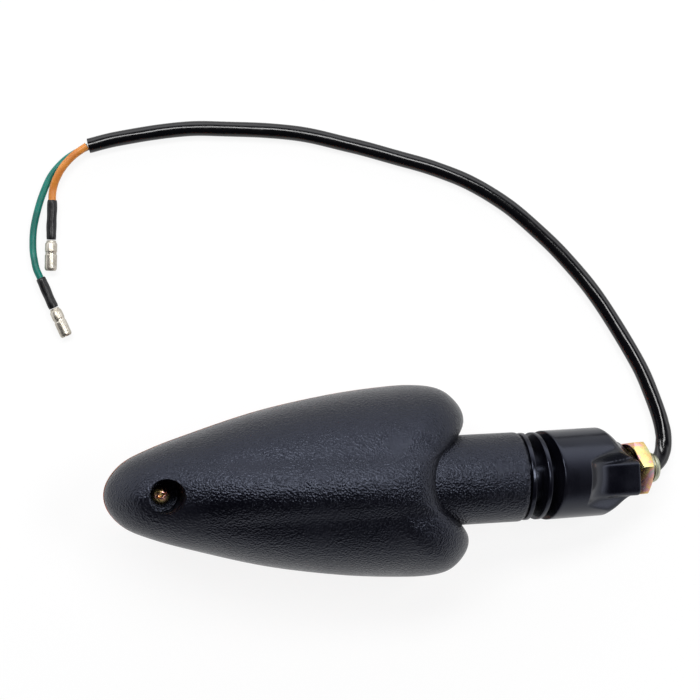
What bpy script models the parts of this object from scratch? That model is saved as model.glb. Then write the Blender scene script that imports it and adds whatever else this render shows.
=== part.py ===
"""Motorcycle turn signal indicator: a tapered housing on a hollow arm, a rubber flex neck, and a hollow stud.

Everything is laid out in the head's own frame: x runs from the nose along the arm's axis, z points out of
the back of the housing, and the arm's axis is z = 0. The whole is then tipped until the lens and the nut
both touch the ground, which is how the object lies when it is put down on its lens.
"""

import math

import bmesh
import bpy
import numpy as np
from mathutils import Matrix, Vector

MM = 0.001
CLEARANCE = 0.3 * MM

# Housing. The outline is half of the plan, from the nose round the rear lobe to the middle of the notch.
OUTLINE = [(1.1, 0), (2.6, 5.0), (7.2, 9.8), (14.4, 13.2), (25.5, 16.9), (48, 23.2), (70.4, 27.2),
           (88, 28.9), (98, 28.9), (104.2, 27.2), (108.6, 22.9), (109.9, 18.4), (107.7, 14.2),
           (103, 9.8), (99.8, 4.9), (98.8, 0)]
PARTING_Z = -14.5 * MM
CROWN = [(0, 8), (10, 15.5), (20, 19.6), (45, 26), (70, 29.6), (110, 31.5)]
HOUSING_WALL = 2.4 * MM
SIDE_ROUNDNESS = 2.3
LOBE_ROUNDNESS = 2.8
NOTCH_ROUNDNESS = 4
REAR_BLEND_FROM = 88 * MM
REAR_BLEND_TO = 104 * MM
SPINE_START = 10 * MM
SPINE_END = 77 * MM
RIDGE_HALF_WIDTH = 9.2 * MM
RIDGE_HEIGHT = 2.7 * MM
RIDGE_START = 14 * MM
RIDGE_FULL = 44 * MM

# Arm.
STEM_RADIUS = 13.5 * MM
STEM_BORE_RADIUS = 11 * MM
STEM_ROOT_X = 90 * MM
STEM_END_X = 125 * MM
STEM_CHAMFER = 0.9 * MM

# Lens screw, its well in the housing and its boss in the lens.
SCREW_X = 17.4 * MM
SCREW_HEAD_RADIUS = 2.8 * MM
SCREW_HEAD_HEIGHT = 2.0 * MM
SCREW_SHANK_RADIUS = 1.45 * MM
SCREW_LENGTH = 12 * MM
SCREW_WELL_RADIUS = 5.2 * MM
SCREW_WELL_WALL = 1.6 * MM
SCREW_WELL_FLOOR_Z = -10 * MM
SCREW_WELL_FLOOR = 2.4 * MM
LENS_BOSS_RADIUS = 4.2 * MM

# Seal and lens.
SEAL_THICKNESS = 1.0 * MM
SEAL_INSET = 0.5 * MM
SEAL_WIDTH = 3.8 * MM
LENS_WALL = 2.2 * MM
LENS_DEPTH = [(0, 6), (10, 9.5), (25, 12.8), (50, 15), (75, 16.3), (110, 16.3)]
LENS_FLAT = 0.34
LENS_SIDE_ROUNDNESS = 2.5
LENS_LOBE_ROUNDNESS = 4.4
LENS_NOTCH_ROUNDNESS = 3

# Reflector.
REFLECTOR_WALL = 1.2 * MM
REFLECTOR_HEADROOM = 0.9 * MM

# Bulb and its socket, along the arm's axis. Distances are measured from the contact end towards the glass.
CONTACT_X = 88 * MM
BULB_BASE_RADIUS = 7.5 * MM
BULB_BASE_LENGTH = 15 * MM
BULB_BASE_WALL = 0.5 * MM
PIN_RADIUS = 1.0 * MM
PIN_REACH = 0.95 * MM
PIN_DEPTH = 9.2 * MM
GLASS_RADIUS = 8.7 * MM
GLASS_WALL = 0.7 * MM
GLASS_NECK_RADIUS = BULB_BASE_RADIUS - BULB_BASE_WALL - 2 * CLEARANCE
GLASS_BALL_CENTRE = 25.5 * MM
SOCKET_WALL = 0.6 * MM
SOCKET_MOUTH = 16 * MM
SOCKET_TAIL = 11.6 * MM
BULB_TRAVEL = 1.8 * MM
PLUNGER_THICKNESS = 2.6 * MM
SPRING_RADIUS = 5.2 * MM
SPRING_WIRE_RADIUS = 0.4 * MM
SPRING_TURNS = 4
INSULATOR_THICKNESS = 1.6 * MM
HOLDER_FRONT_X = 92.9 * MM
HOLDER_LENGTH = 5.4 * MM
INNER_WIRE_RADIUS = 1.0 * MM
INNER_WIRE_OFFSET = 1.35 * MM

# Rubber flex neck: plug, middle ring and collar nest as ball and socket, so each groove can close.
# It rests bent, by half of the angle at each ball.
NECK_BEND = 13
RIB_RADIUS = 13.2 * MM
RIB_WIDTH = 1.35 * MM
RIB_ROUNDING = 0.3 * MM
PLUG_SHOULDER = 0.5 * MM
PLUG_LENGTH = 16 * MM
GROOVE = 2.3 * MM
FRONT_BALL_RADIUS = 8 * MM
REAR_BALL_RADIUS = 7 * MM
NECK_BORE_RADIUS = 3 * MM

# Collar, keyed block, stud and nut, along the mount's axis, measured from the rear ball's centre.
COLLAR_RADIUS = 13.5 * MM
KEY_START = 10.6 * MM
KEY_FULL = 19.6 * MM
SHOULDER_START = 20.4 * MM
BLOCK_FULL = 30.2 * MM
BLOCK_END = 30.8 * MM
# The block's sides: the angle round the axis, from the side away from the ground, and the distance from it.
BLOCK_SIDES = [(0, 8.9), (61.8, 6.2), (90, 8.6), (180, 8.6), (270, 7.8)]
BLOCK_CORNER = 10.9 * MM
KEY_MIDDLE = -13.5
KEY_HALF_WIDTH = 28
KEY_FADE = 50
STUD_RADIUS = 5 * MM
STUD_BORE_RADIUS = 3.7 * MM
STUD_FLANGE_RADIUS = 7.6 * MM
STUD_FLANGE_THICKNESS = 2 * MM
STUD_FLANGE_START = 14 * MM
STUD_PROTRUSION = 4.8 * MM
STUD_ROUNDING = 0.7 * MM
NUT_ACROSS_FLATS = 16 * MM
NUT_THICKNESS = 5 * MM
NUT_CHAMFER_ANGLE = 30
NUT_CLOCKING = 5

# Lead: a sleeve with two wires, each in a shrink sleeve and a bullet terminal.
SLEEVE_RADIUS = 2.45 * MM
SLEEVE_STEP = 4 * MM
SLEEVE_ROUTE = [(79.6, 0, 7.5), (83.6, 0.9, 5.3), (86.3, 4.2, 3.5), (87.0, 9.6, 2.7), (86.1, 15.4, 2.5),
                (83.7, 23.2, 2.5), (80.4, 31.8, 2.5), (74.6, 42.8, 2.5), (68.2, 53.7, 2.5), (61, 63.6, 2.5),
                (52.5, 73.2, 2.5), (41.7, 83.3, 2.5), (30.8, 90.7, 2.5), (20.1, 95.7, 2.5), (9, 99.5, 2.5),
                (-6.7, 104.5, 2.5), (-24.3, 109.1, 2.5), (-46.4, 111.3, 2.5), (-60.1, 111.7, 2.5),
                (-78, 109.8, 2.5), (-88.1, 107.8, 2.5)]
ORANGE_RADIUS = 1.2 * MM
ORANGE_ROUTE = [(-88.5, 107.7, 3.75), (-93.0, 104.8, 3.75), (-96.6, 101.1, 3.6), (-98.7, 97.7, 3.1),
                (-99.4, 96.1, 2.7), (-99.8, 94.8, 2.5), (-100.1, 93.2, 2.5), (-100.2, 91.7, 2.5)]
GREEN_RADIUS = 1.1 * MM
GREEN_ROUTE = [(-88.5, 107.7, 1.2), (-91.9, 106.2, 1.2), (-96, 103.7, 1.2), (-100.2, 99.4, 1.2),
               (-103.0, 94.1, 1.2), (-105.1, 88.4, 1.2), (-106.6, 82.4, 1.2), (-107, 76.5, 1.4),
               (-106.6, 72.6, 1.8), (-106.1, 70, 1.95), (-105.1, 67.5, 1.95)]
WIRE_STEP = 2.8 * MM
SHRINK_RADIUS = 1.6 * MM
ORANGE_SHRINK_LENGTH = 12.6 * MM
GREEN_SHRINK_LENGTH = 10.4 * MM
BULLET_RADIUS = 1.9 * MM
BULLET_LENGTH = 9.4 * MM
BULLET_BORE_RADIUS = 1.25 * MM
BULLET_BORE_DEPTH = 5 * MM

ROUND = 32
SMALL_ROUND = ROUND // 2


# ---------------------------------------------------------------- materials

def finish(name, colour, roughness, metallic=0.0):
    """A plain material in the piece's own colour."""
    material = bpy.data.materials.new(name)
    material.use_nodes = True
    shader = material.node_tree.nodes["Principled BSDF"]
    shader.inputs["Base Color"].default_value = (*colour, 1)
    shader.inputs["Roughness"].default_value = roughness
    shader.inputs["Metallic"].default_value = metallic
    material.diffuse_color = (*colour, 1)
    return material


# ---------------------------------------------------------------- objects and modifiers

def frame(name, place, parent=None):
    """An empty that carries pieces."""
    empty = bpy.data.objects.new(name, None)
    bpy.context.collection.objects.link(empty)
    empty.parent = parent
    empty.matrix_local = place
    return empty


def piece(name, mesh_builder, material, parent, place=None, smooth=35):
    """An object from a bmesh, shaded smooth except at edges sharper than the given angle."""
    mesh = bpy.data.meshes.new(name)
    bmesh.ops.recalc_face_normals(mesh_builder, faces=mesh_builder.faces)
    mesh_builder.to_mesh(mesh)
    mesh_builder.free()
    if smooth:
        mesh.shade_smooth()
        mesh.set_sharp_from_angle(angle=math.radians(smooth))
    thing = bpy.data.objects.new(name, mesh)
    bpy.context.collection.objects.link(thing)
    thing.parent = parent
    thing.matrix_local = place or Matrix()
    if material:
        mesh.materials.append(material)
    return thing


def cutter(name, mesh_builder, parent, place=None):
    """A solid that only shapes other pieces."""
    thing = piece(name, mesh_builder, None, parent, place)
    thing.hide_render = True
    thing.display_type = "WIRE"
    return thing


def combine(thing, other, operation):
    """An exact Boolean of one object with another."""
    modifier = thing.modifiers.new(other.name, "BOOLEAN")
    modifier.object = other
    modifier.operation = operation
    modifier.solver = "EXACT"


# ---------------------------------------------------------------- shapes

def turned(profile, segments=ROUND):
    """A solid turned about z from a closed outline of (radius, height) points."""
    shape = bmesh.new()
    rings = []
    for radius, height in profile:
        if radius < 1e-7:
            rings.append([shape.verts.new((0, 0, height))])
            continue
        steps = [2 * math.pi * k / segments for k in range(segments)]
        rings.append([shape.verts.new((radius * math.cos(a), radius * math.sin(a), height)) for a in steps])
    for low, high in zip(rings, rings[1:] + rings[:1]):
        for k in range(segments):
            corners = [low[k % len(low)], low[(k + 1) % len(low)], high[(k + 1) % len(high)], high[k % len(high)]]
            corners = list(dict.fromkeys(corners))
            if len(corners) > 2:
                shape.faces.new(corners)
    return shape


def rod(radius, start, end, segments=ROUND):
    """A plain cylinder about z."""
    return turned([(0, start), (radius, start), (radius, end), (0, end)], segments)


def tube(outer, inner, start, end, segments=ROUND):
    """A plain ring about z."""
    return turned([(inner, start), (outer, start), (outer, end), (inner, end)], segments)


def arc(centre, radius, start, end, steps):
    """(radius, height) points along an arc, angles in degrees from the outward direction."""
    angles = [math.radians(start + (end - start) * k / steps) for k in range(steps + 1)]
    return [(centre[0] + radius * math.cos(a), centre[1] + radius * math.sin(a)) for a in angles]


def sector(inner, outer, low, high, start, end, steps):
    """A slice of a ring about z, between two angles in degrees."""
    shape = bmesh.new()
    slices = []
    for k in range(steps + 1):
        a = math.radians(start + (end - start) * k / steps)
        corners = [(inner, low), (outer, low), (outer, high), (inner, high)]
        slices.append([shape.verts.new((r * math.cos(a), r * math.sin(a), z)) for r, z in corners])
    for one, two in zip(slices, slices[1:]):
        for k in range(4):
            shape.faces.new([one[k], one[(k + 1) % 4], two[(k + 1) % 4], two[k]])
    shape.faces.new(slices[0])
    shape.faces.new(slices[-1])
    return shape


def lofted(sections):
    """A solid through closed sections that have the same number of points."""
    shape = bmesh.new()
    rings = [[shape.verts.new(point) for point in section] for section in sections]
    count = len(rings[0])
    for one, two in zip(rings, rings[1:]):
        for k in range(count):
            shape.faces.new([one[k], one[(k + 1) % count], two[(k + 1) % count], two[k]])
    shape.faces.new(rings[0])
    shape.faces.new(rings[-1])
    return shape


def smooth_path(points, step):
    """Points at an even step along a smooth curve through the given ones."""
    points = [Vector(p) for p in points]
    ends = [2 * points[0] - points[1]] + points + [2 * points[-1] - points[-2]]
    fine = []
    for a, b, c, d in zip(ends, ends[1:], ends[2:], ends[3:]):
        for k in range(24):
            t = k / 24
            fine.append(0.5 * (2 * b + (c - a) * t + (2 * a - 5 * b + 4 * c - d) * t * t
                               + (3 * b - a - 3 * c + d) * t ** 3))
    fine.append(points[-1])
    reached = [0.0]
    for one, two in zip(fine, fine[1:]):
        reached.append(reached[-1] + (two - one).length)
    count = max(2, round(reached[-1] / step))
    wanted = np.linspace(0, reached[-1], count + 1)
    return [Vector([np.interp(s, reached, [p[axis] for p in fine]) for axis in range(3)]) for s in wanted]


def cable(name, points, radius, material, parent=None, resolution=3):
    """A tube with filled ends along a row of points."""
    curve = bpy.data.curves.new(name, "CURVE")
    curve.dimensions = "3D"
    curve.bevel_depth = radius
    curve.bevel_resolution = resolution
    curve.use_fill_caps = True
    spline = curve.splines.new("POLY")
    spline.points.add(len(points) - 1)
    for target, point in zip(spline.points, points):
        target.co = (*point, 1)
    curve.materials.append(material)
    thing = bpy.data.objects.new(name, curve)
    bpy.context.collection.objects.link(thing)
    thing.parent = parent
    return thing


# ---------------------------------------------------------------- the head's own form

def height_along(x, pairs):
    """A smooth height in metres at x, through (x, height) pairs in millimetres."""
    stations = [p[0] * MM for p in pairs]
    heights = [p[1] * MM for p in pairs]
    slopes = np.gradient(heights, stations)
    x = min(max(x, stations[0]), stations[-1])
    k = min(np.searchsorted(stations, x, side="right") - 1, len(pairs) - 2)
    width = stations[k + 1] - stations[k]
    t = (x - stations[k]) / width
    return float((2 * t ** 3 - 3 * t ** 2 + 1) * heights[k] + (t ** 3 - 2 * t ** 2 + t) * width * slopes[k]
                 + (3 * t ** 2 - 2 * t ** 3) * heights[k + 1] + (t ** 3 - t ** 2) * width * slopes[k + 1])


def ease(value, low, high):
    """0 before low, 1 after high, and a smooth step between."""
    t = min(max((value - low) / (high - low), 0), 1)
    return t * t * (3 - 2 * t)


def half_outline(inset=0.0, per_segment=2):
    """The outline's points from nose to notch, moved inwards by inset, with their lobe and notch shares."""
    known = [Vector((x * MM, y * MM)) for x, y in OUTLINE]
    mirror = Vector((1, -1))
    ends = [known[1] * mirror] + known + [known[-2] * mirror]
    points, flow = [], []
    for a, b, c, d in zip(ends, ends[1:], ends[2:], ends[3:]):
        for k in range(per_segment):
            t = k / per_segment
            points.append(0.5 * (2 * b + (c - a) * t + (2 * a - 5 * b + 4 * c - d) * t * t
                                 + (3 * b - a - 3 * c + d) * t ** 3))
            flow.append(0.5 * ((c - a) + 2 * (2 * a - 5 * b + 4 * c - d) * t
                               + 3 * (3 * b - a - 3 * c + d) * t * t))
    points.append(known[-1])
    flow.append(Vector((0, -1)))
    lobe = max(range(len(points)), key=lambda k: points[k].x)
    moved = []
    for k, (point, along) in enumerate(zip(points, flow)):
        inwards = Vector((along.y, -along.x)).normalized()
        rear = 1.0 if k >= lobe else ease(point.x, REAR_BLEND_FROM, REAR_BLEND_TO)
        notch = ease(1 - point.y / points[lobe].y, 0, 1) if k >= lobe else 0.0
        place = point + inwards * inset
        if k in (0, len(points) - 1):
            place.y = 0
        moved.append((place.x, place.y, rear, notch))
    return moved


def whole_outline(inset=0.0, per_segment=2):
    """Both halves of the outline as one closed row of (x, y, lobe share, notch share)."""
    half = half_outline(inset, per_segment)
    return half + [(x, -y, rear, notch) for x, y, rear, notch in half[-2:0:-1]]


def ridge(x, y):
    """How far the central ridge stands above the wings."""
    share = 1 - (y / RIDGE_HALF_WIDTH) ** 2
    crease = 0.06
    return RIDGE_HEIGHT * 0.5 * (share + math.sqrt(share * share + crease)) * ease(x, RIDGE_START, RIDGE_FULL)


HOUSING_ROUNDNESS = (SIDE_ROUNDNESS, LOBE_ROUNDNESS, NOTCH_ROUNDNESS)
LENS_ROUNDNESS = (LENS_SIDE_ROUNDNESS, LENS_LOBE_ROUNDNESS, LENS_NOTCH_ROUNDNESS)


def spine_x(x):
    """The place on the spine that an outline point at x climbs to."""
    return SPINE_START + (SPINE_END - SPINE_START) * min(max(x / REAR_BLEND_FROM, 0), 1)


def head_form(inset, base, crown, roundness, rings, direction, ridged=False, flat=0.0, fine=1):
    """A domed solid over the outline: a flat base, and rings of points that climb to a spine."""
    outline = whole_outline(inset, fine)
    side_power, lobe_power, notch_power = roundness
    shape = bmesh.new()
    count = len(outline)
    levels = []
    for ring in range(rings):
        turn = math.pi / 2 * (1 - ring / rings)
        row = []
        for x, y, rear, notch in outline:
            power = side_power + (lobe_power + (notch_power - lobe_power) * notch - side_power) * rear
            share = math.sin(turn) ** (2 / power)
            rise = math.cos(turn) ** (2 / power)
            if flat:
                rise = min(rise / (1 - flat ** power) ** (1 / power), 1.0)
            px, py = spine_x(x) + (x - spine_x(x)) * share, y * share
            height = (crown(px) + (ridge(px, py) if ridged else 0)) * rise
            row.append(shape.verts.new((px, py, base + direction * height)))
        levels.append(row)
    spine = {}
    last = []
    for x, _, _, _ in outline:
        key = round(spine_x(x), 6)
        if key not in spine:
            height = crown(key) + (ridge(key, 0) if ridged else 0)
            spine[key] = shape.verts.new((key, 0, base + direction * height))
        last.append(spine[key])
    levels.append(last)
    for low, high in zip(levels, levels[1:]):
        for k in range(count):
            corners = list(dict.fromkeys([low[k], low[(k + 1) % count], high[(k + 1) % count], high[k]]))
            if len(corners) > 2:
                shape.faces.new(corners)
    shape.faces.new(levels[0])
    bmesh.ops.triangulate(shape, faces=[f for f in shape.faces if len(f.verts) > 4])
    return shape


def slab(inset, low, high):
    """The outline, moved inwards, as a flat solid."""
    outline = whole_outline(inset)
    return lofted([[(x, y, z) for x, y, _, _ in outline] for z in (low, high)])


def housing_crown(drop):
    return lambda x: height_along(x, CROWN) - drop


def lens_crown(drop):
    return lambda x: height_along(x, LENS_DEPTH) - drop


# ---------------------------------------------------------------- pieces of the head

ALONG_ARM = Matrix.Rotation(math.radians(90), 4, "Y")
TOWARDS_NOSE = Matrix.Translation((CONTACT_X, 0, 0)) @ Matrix.Rotation(math.radians(-90), 4, "Y")


def make_housing(head, plastic):
    outer = head_form(0, PARTING_Z, housing_crown(0), HOUSING_ROUNDNESS, 9, 1, ridged=True, fine=2)
    housing = piece("rear_housing", outer, plastic, head)
    profile = [(0, STEM_ROOT_X), (STEM_RADIUS, STEM_ROOT_X), (STEM_RADIUS, STEM_END_X - STEM_CHAMFER),
               (STEM_RADIUS - STEM_CHAMFER, STEM_END_X), (0, STEM_END_X)]
    arm = cutter("arm_solid", turned(profile, 48), head, ALONG_ARM)
    hollow = head_form(HOUSING_WALL, PARTING_Z, housing_crown(HOUSING_WALL), HOUSING_ROUNDNESS, 6, 1)
    for vertex in hollow.verts:
        if vertex.co.z <= PARTING_Z + 1e-6:
            vertex.co.z -= CLEARANCE
    hollow = cutter("housing_hollow", hollow, head)
    well_radius = SCREW_WELL_RADIUS + SCREW_WELL_WALL
    well_bottom = SCREW_WELL_FLOOR_Z - SCREW_WELL_FLOOR
    at_screw = Matrix.Translation((SCREW_X, 0, 0))
    well = cutter("well_solid", rod(well_radius, well_bottom, STEM_RADIUS * 2, 32), head, at_screw)
    combine(hollow, well, "DIFFERENCE")
    bore = cutter("arm_bore", rod(STEM_BORE_RADIUS, STEM_ROOT_X - 6 * MM, STEM_END_X + MM), head, ALONG_ARM)
    recess = turned([(0, SCREW_WELL_FLOOR_Z), (SCREW_WELL_RADIUS, SCREW_WELL_FLOOR_Z),
                     (SCREW_WELL_RADIUS, STEM_RADIUS * 2), (0, STEM_RADIUS * 2)], 32)
    recess = cutter("screw_well", recess, head, at_screw)
    hole = rod(SCREW_SHANK_RADIUS + CLEARANCE, well_bottom - MM, SCREW_WELL_FLOOR_Z + MM, SMALL_ROUND)
    hole = cutter("screw_hole", hole, head, at_screw)
    combine(housing, arm, "UNION")
    combine(housing, hollow, "DIFFERENCE")
    for tool in (bore, recess, hole):
        combine(housing, tool, "DIFFERENCE")


def make_seal(head, rubber):
    top = PARTING_Z - CLEARANCE
    seal = piece("lens_seal", slab(SEAL_INSET, top - SEAL_THICKNESS, top), rubber, head)
    inner = slab(SEAL_INSET + SEAL_WIDTH, top - SEAL_THICKNESS - MM, top + MM)
    combine(seal, cutter("seal_opening", inner, head), "DIFFERENCE")


def make_lens(head, plastic):
    top = PARTING_Z - 2 * CLEARANCE - SEAL_THICKNESS
    outer = head_form(0, top, lens_crown(0), LENS_ROUNDNESS, 7, -1, flat=LENS_FLAT,
                      fine=2)
    lens = piece("lens", outer, plastic, head)
    hollow = head_form(LENS_WALL, top, lens_crown(LENS_WALL), LENS_ROUNDNESS, 5, -1,
                       flat=LENS_FLAT)
    for vertex in hollow.verts:
        if vertex.co.z >= top - 1e-6:
            vertex.co.z += CLEARANCE
    hollow = cutter("lens_hollow", hollow, head)
    at_screw = Matrix.Translation((SCREW_X, 0, 0))
    boss_top = SCREW_WELL_FLOOR_Z - SCREW_WELL_FLOOR - CLEARANCE
    boss_floor = top - lens_crown(LENS_WALL / 2)(SCREW_X)
    boss = cutter("lens_boss", rod(LENS_BOSS_RADIUS, boss_floor, boss_top, 28), head, at_screw)
    bottom = SCREW_WELL_FLOOR_Z + SCREW_HEAD_HEIGHT - SCREW_LENGTH - SCREW_HEAD_HEIGHT - MM
    pilot = cutter("lens_pilot_hole", rod(SCREW_SHANK_RADIUS + CLEARANCE, bottom, boss_top + MM, SMALL_ROUND),
                   head, at_screw)
    combine(lens, hollow, "DIFFERENCE")
    combine(lens, boss, "UNION")
    combine(lens, pilot, "DIFFERENCE")


def make_reflector(head, silvered):
    drop = HOUSING_WALL + REFLECTOR_HEADROOM
    inset = HOUSING_WALL + 2 * CLEARANCE
    outer = head_form(inset, PARTING_Z, housing_crown(drop), HOUSING_ROUNDNESS, 6, 1)
    reflector = piece("reflector", outer, silvered, head)
    hollow = head_form(inset + REFLECTOR_WALL, PARTING_Z, housing_crown(drop + REFLECTOR_WALL),
                       HOUSING_ROUNDNESS, 6, 1)
    for vertex in hollow.verts:
        if vertex.co.z <= PARTING_Z + 1e-6:
            vertex.co.z -= CLEARANCE
    socket_radius = BULB_BASE_RADIUS + CLEARANCE + SOCKET_WALL + CLEARANCE
    step_x = HOLDER_FRONT_X - CLEARANCE
    opening = turned([(0, SPINE_END), (socket_radius, SPINE_END), (socket_radius, step_x), (STEM_BORE_RADIUS, step_x),
                      (STEM_BORE_RADIUS, STEM_END_X), (0, STEM_END_X)])
    boss = rod(SCREW_WELL_RADIUS + SCREW_WELL_WALL + CLEARANCE, PARTING_Z - MM, STEM_RADIUS * 2, 32)
    combine(reflector, cutter("reflector_hollow", hollow, head), "DIFFERENCE")
    combine(reflector, cutter("reflector_socket_opening", opening, head, ALONG_ARM), "DIFFERENCE")
    combine(reflector, cutter("reflector_well_opening", boss, head, Matrix.Translation((SCREW_X, 0, 0))),
            "DIFFERENCE")


def make_screw(head, zinc):
    floor = SCREW_WELL_FLOOR_Z + CLEARANCE
    top = floor + SCREW_HEAD_HEIGHT
    tip = floor - SCREW_LENGTH
    profile = [(0, tip), (SCREW_SHANK_RADIUS * 0.4, tip), (SCREW_SHANK_RADIUS, tip + 2 * MM),
               (SCREW_SHANK_RADIUS, floor), (SCREW_HEAD_RADIUS, floor),
               (SCREW_HEAD_RADIUS, floor + SCREW_HEAD_HEIGHT * 0.45),
               (SCREW_HEAD_RADIUS * 0.8, floor + SCREW_HEAD_HEIGHT * 0.85), (SCREW_HEAD_RADIUS * 0.4, top), (0, top)]
    place = Matrix.Translation((SCREW_X, 0, 0))
    screw = piece("lens_screw", turned(profile, SMALL_ROUND), zinc, head, place)
    arm, depth = SCREW_HEAD_RADIUS * 0.62, SCREW_HEAD_HEIGHT * 0.7
    for number, size in enumerate([(arm, 0.42 * MM), (0.42 * MM, arm)]):
        slot = bmesh.new()
        bmesh.ops.create_cube(slot, size=2)
        bmesh.ops.scale(slot, vec=(size[0], size[1], depth), verts=slot.verts)
        slot_place = Matrix.Translation((SCREW_X, 0, top))
        combine(screw, cutter(f"screw_slot_{number}", slot, head, slot_place), "DIFFERENCE")


def make_socket(head, steel, phenolic, brass, rubber, live, ground):
    inner = BULB_BASE_RADIUS + CLEARANCE
    outer = inner + SOCKET_WALL
    shell = piece("bulb_socket", tube(outer, inner, -SOCKET_TAIL, SOCKET_MOUTH), steel, head, TOWARDS_NOSE)
    half = math.degrees((PIN_RADIUS + CLEARANCE) / inner)
    rest_angle = 28
    low, high = PIN_DEPTH - BULB_TRAVEL - PIN_RADIUS - CLEARANCE, PIN_DEPTH + PIN_RADIUS + CLEARANCE
    run_top = low + 2 * (PIN_RADIUS + CLEARANCE)
    hair = 0.04 * MM
    for number, side in enumerate([0, 180]):
        cuts = [(low, SOCKET_MOUTH + MM, side + rest_angle - half, side + rest_angle + half),
                (low + hair, run_top, side - half + 0.2, side + rest_angle),
                (low + 2 * hair, high, side - half, side + half)]
        for step, (z0, z1, a0, a1) in enumerate(cuts):
            slot = sector(inner - MM, outer + MM, z0, z1, a0, a1, 4)
            combine(shell, cutter(f"bayonet_slot_{number}_{step}", slot, head, TOWARDS_NOSE), "DIFFERENCE")
    insulator_top = -SOCKET_TAIL + 1.0 * MM + INSULATOR_THICKNESS
    disc = rod(inner - CLEARANCE, insulator_top - INSULATOR_THICKNESS, insulator_top)
    disc = piece("socket_insulator", disc, phenolic, head, TOWARDS_NOSE)
    hole = rod(1.3 * MM + CLEARANCE, -SOCKET_TAIL - MM, insulator_top + MM, SMALL_ROUND)
    combine(disc, cutter("insulator_hole", hole, head, TOWARDS_NOSE), "DIFFERENCE")
    rivet = [(0, -SOCKET_TAIL - 1.6 * MM), (2.2 * MM, -SOCKET_TAIL - 1.6 * MM),
             (2.2 * MM, insulator_top - INSULATOR_THICKNESS - CLEARANCE),
             (1.3 * MM, insulator_top - INSULATOR_THICKNESS - CLEARANCE), (1.3 * MM, insulator_top + CLEARANCE),
             (2.2 * MM, insulator_top + CLEARANCE), (2.2 * MM, insulator_top + 0.8 * MM), (0, insulator_top + 0.8 * MM)]
    piece("live_terminal", turned(rivet, SMALL_ROUND), brass, head, TOWARDS_NOSE)
    tab_top = CONTACT_X - HOLDER_FRONT_X - HOLDER_LENGTH - CLEARANCE
    tab = sector(outer + CLEARANCE, outer + 0.9 * MM, -SOCKET_TAIL - 2.0 * MM, tab_top, 250, 290, 4)
    piece("ground_terminal", tab, brass, head, TOWARDS_NOSE)
    bush_inner = outer + CLEARANCE
    bush_outer = STEM_BORE_RADIUS - CLEARANCE
    bush_top = CONTACT_X - HOLDER_FRONT_X
    bush = tube(bush_outer, bush_inner, bush_top - HOLDER_LENGTH, bush_top)
    piece("socket_holder", bush, rubber, head, TOWARDS_NOSE)
    exit_x = CONTACT_X + SOCKET_TAIL + 1.6 * MM + CLEARANCE
    plug_x = STEM_END_X - PLUG_LENGTH
    end_x = STEM_END_X - 5.2 * MM
    side = INNER_WIRE_OFFSET
    live_route = [(exit_x, 0, 0), (exit_x + 1.8 * MM, 0.1 * MM, 0), (plug_x - 1.4 * MM, side, 0),
                  (plug_x + 3 * MM, side, 0), (end_x, side, 0)]
    cable("live_wire", smooth_path(live_route, 2.6 * MM), INNER_WIRE_RADIUS, live, head, 2)
    tab_y = -(outer + 0.6 * MM)
    tab_x = exit_x + 0.4 * MM
    ground_route = [(tab_x, tab_y, 0), (tab_x + 1.6 * MM, tab_y * 0.93, 0), (plug_x - 3.0 * MM, tab_y * 0.42, 0),
                    (plug_x - 0.8 * MM, -side * 1.06, 0), (plug_x + 3 * MM, -side, 0), (end_x, -side, 0)]
    cable("ground_wire", smooth_path(ground_route, 2.6 * MM), INNER_WIRE_RADIUS, ground, head, 2)
    return insulator_top


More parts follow.
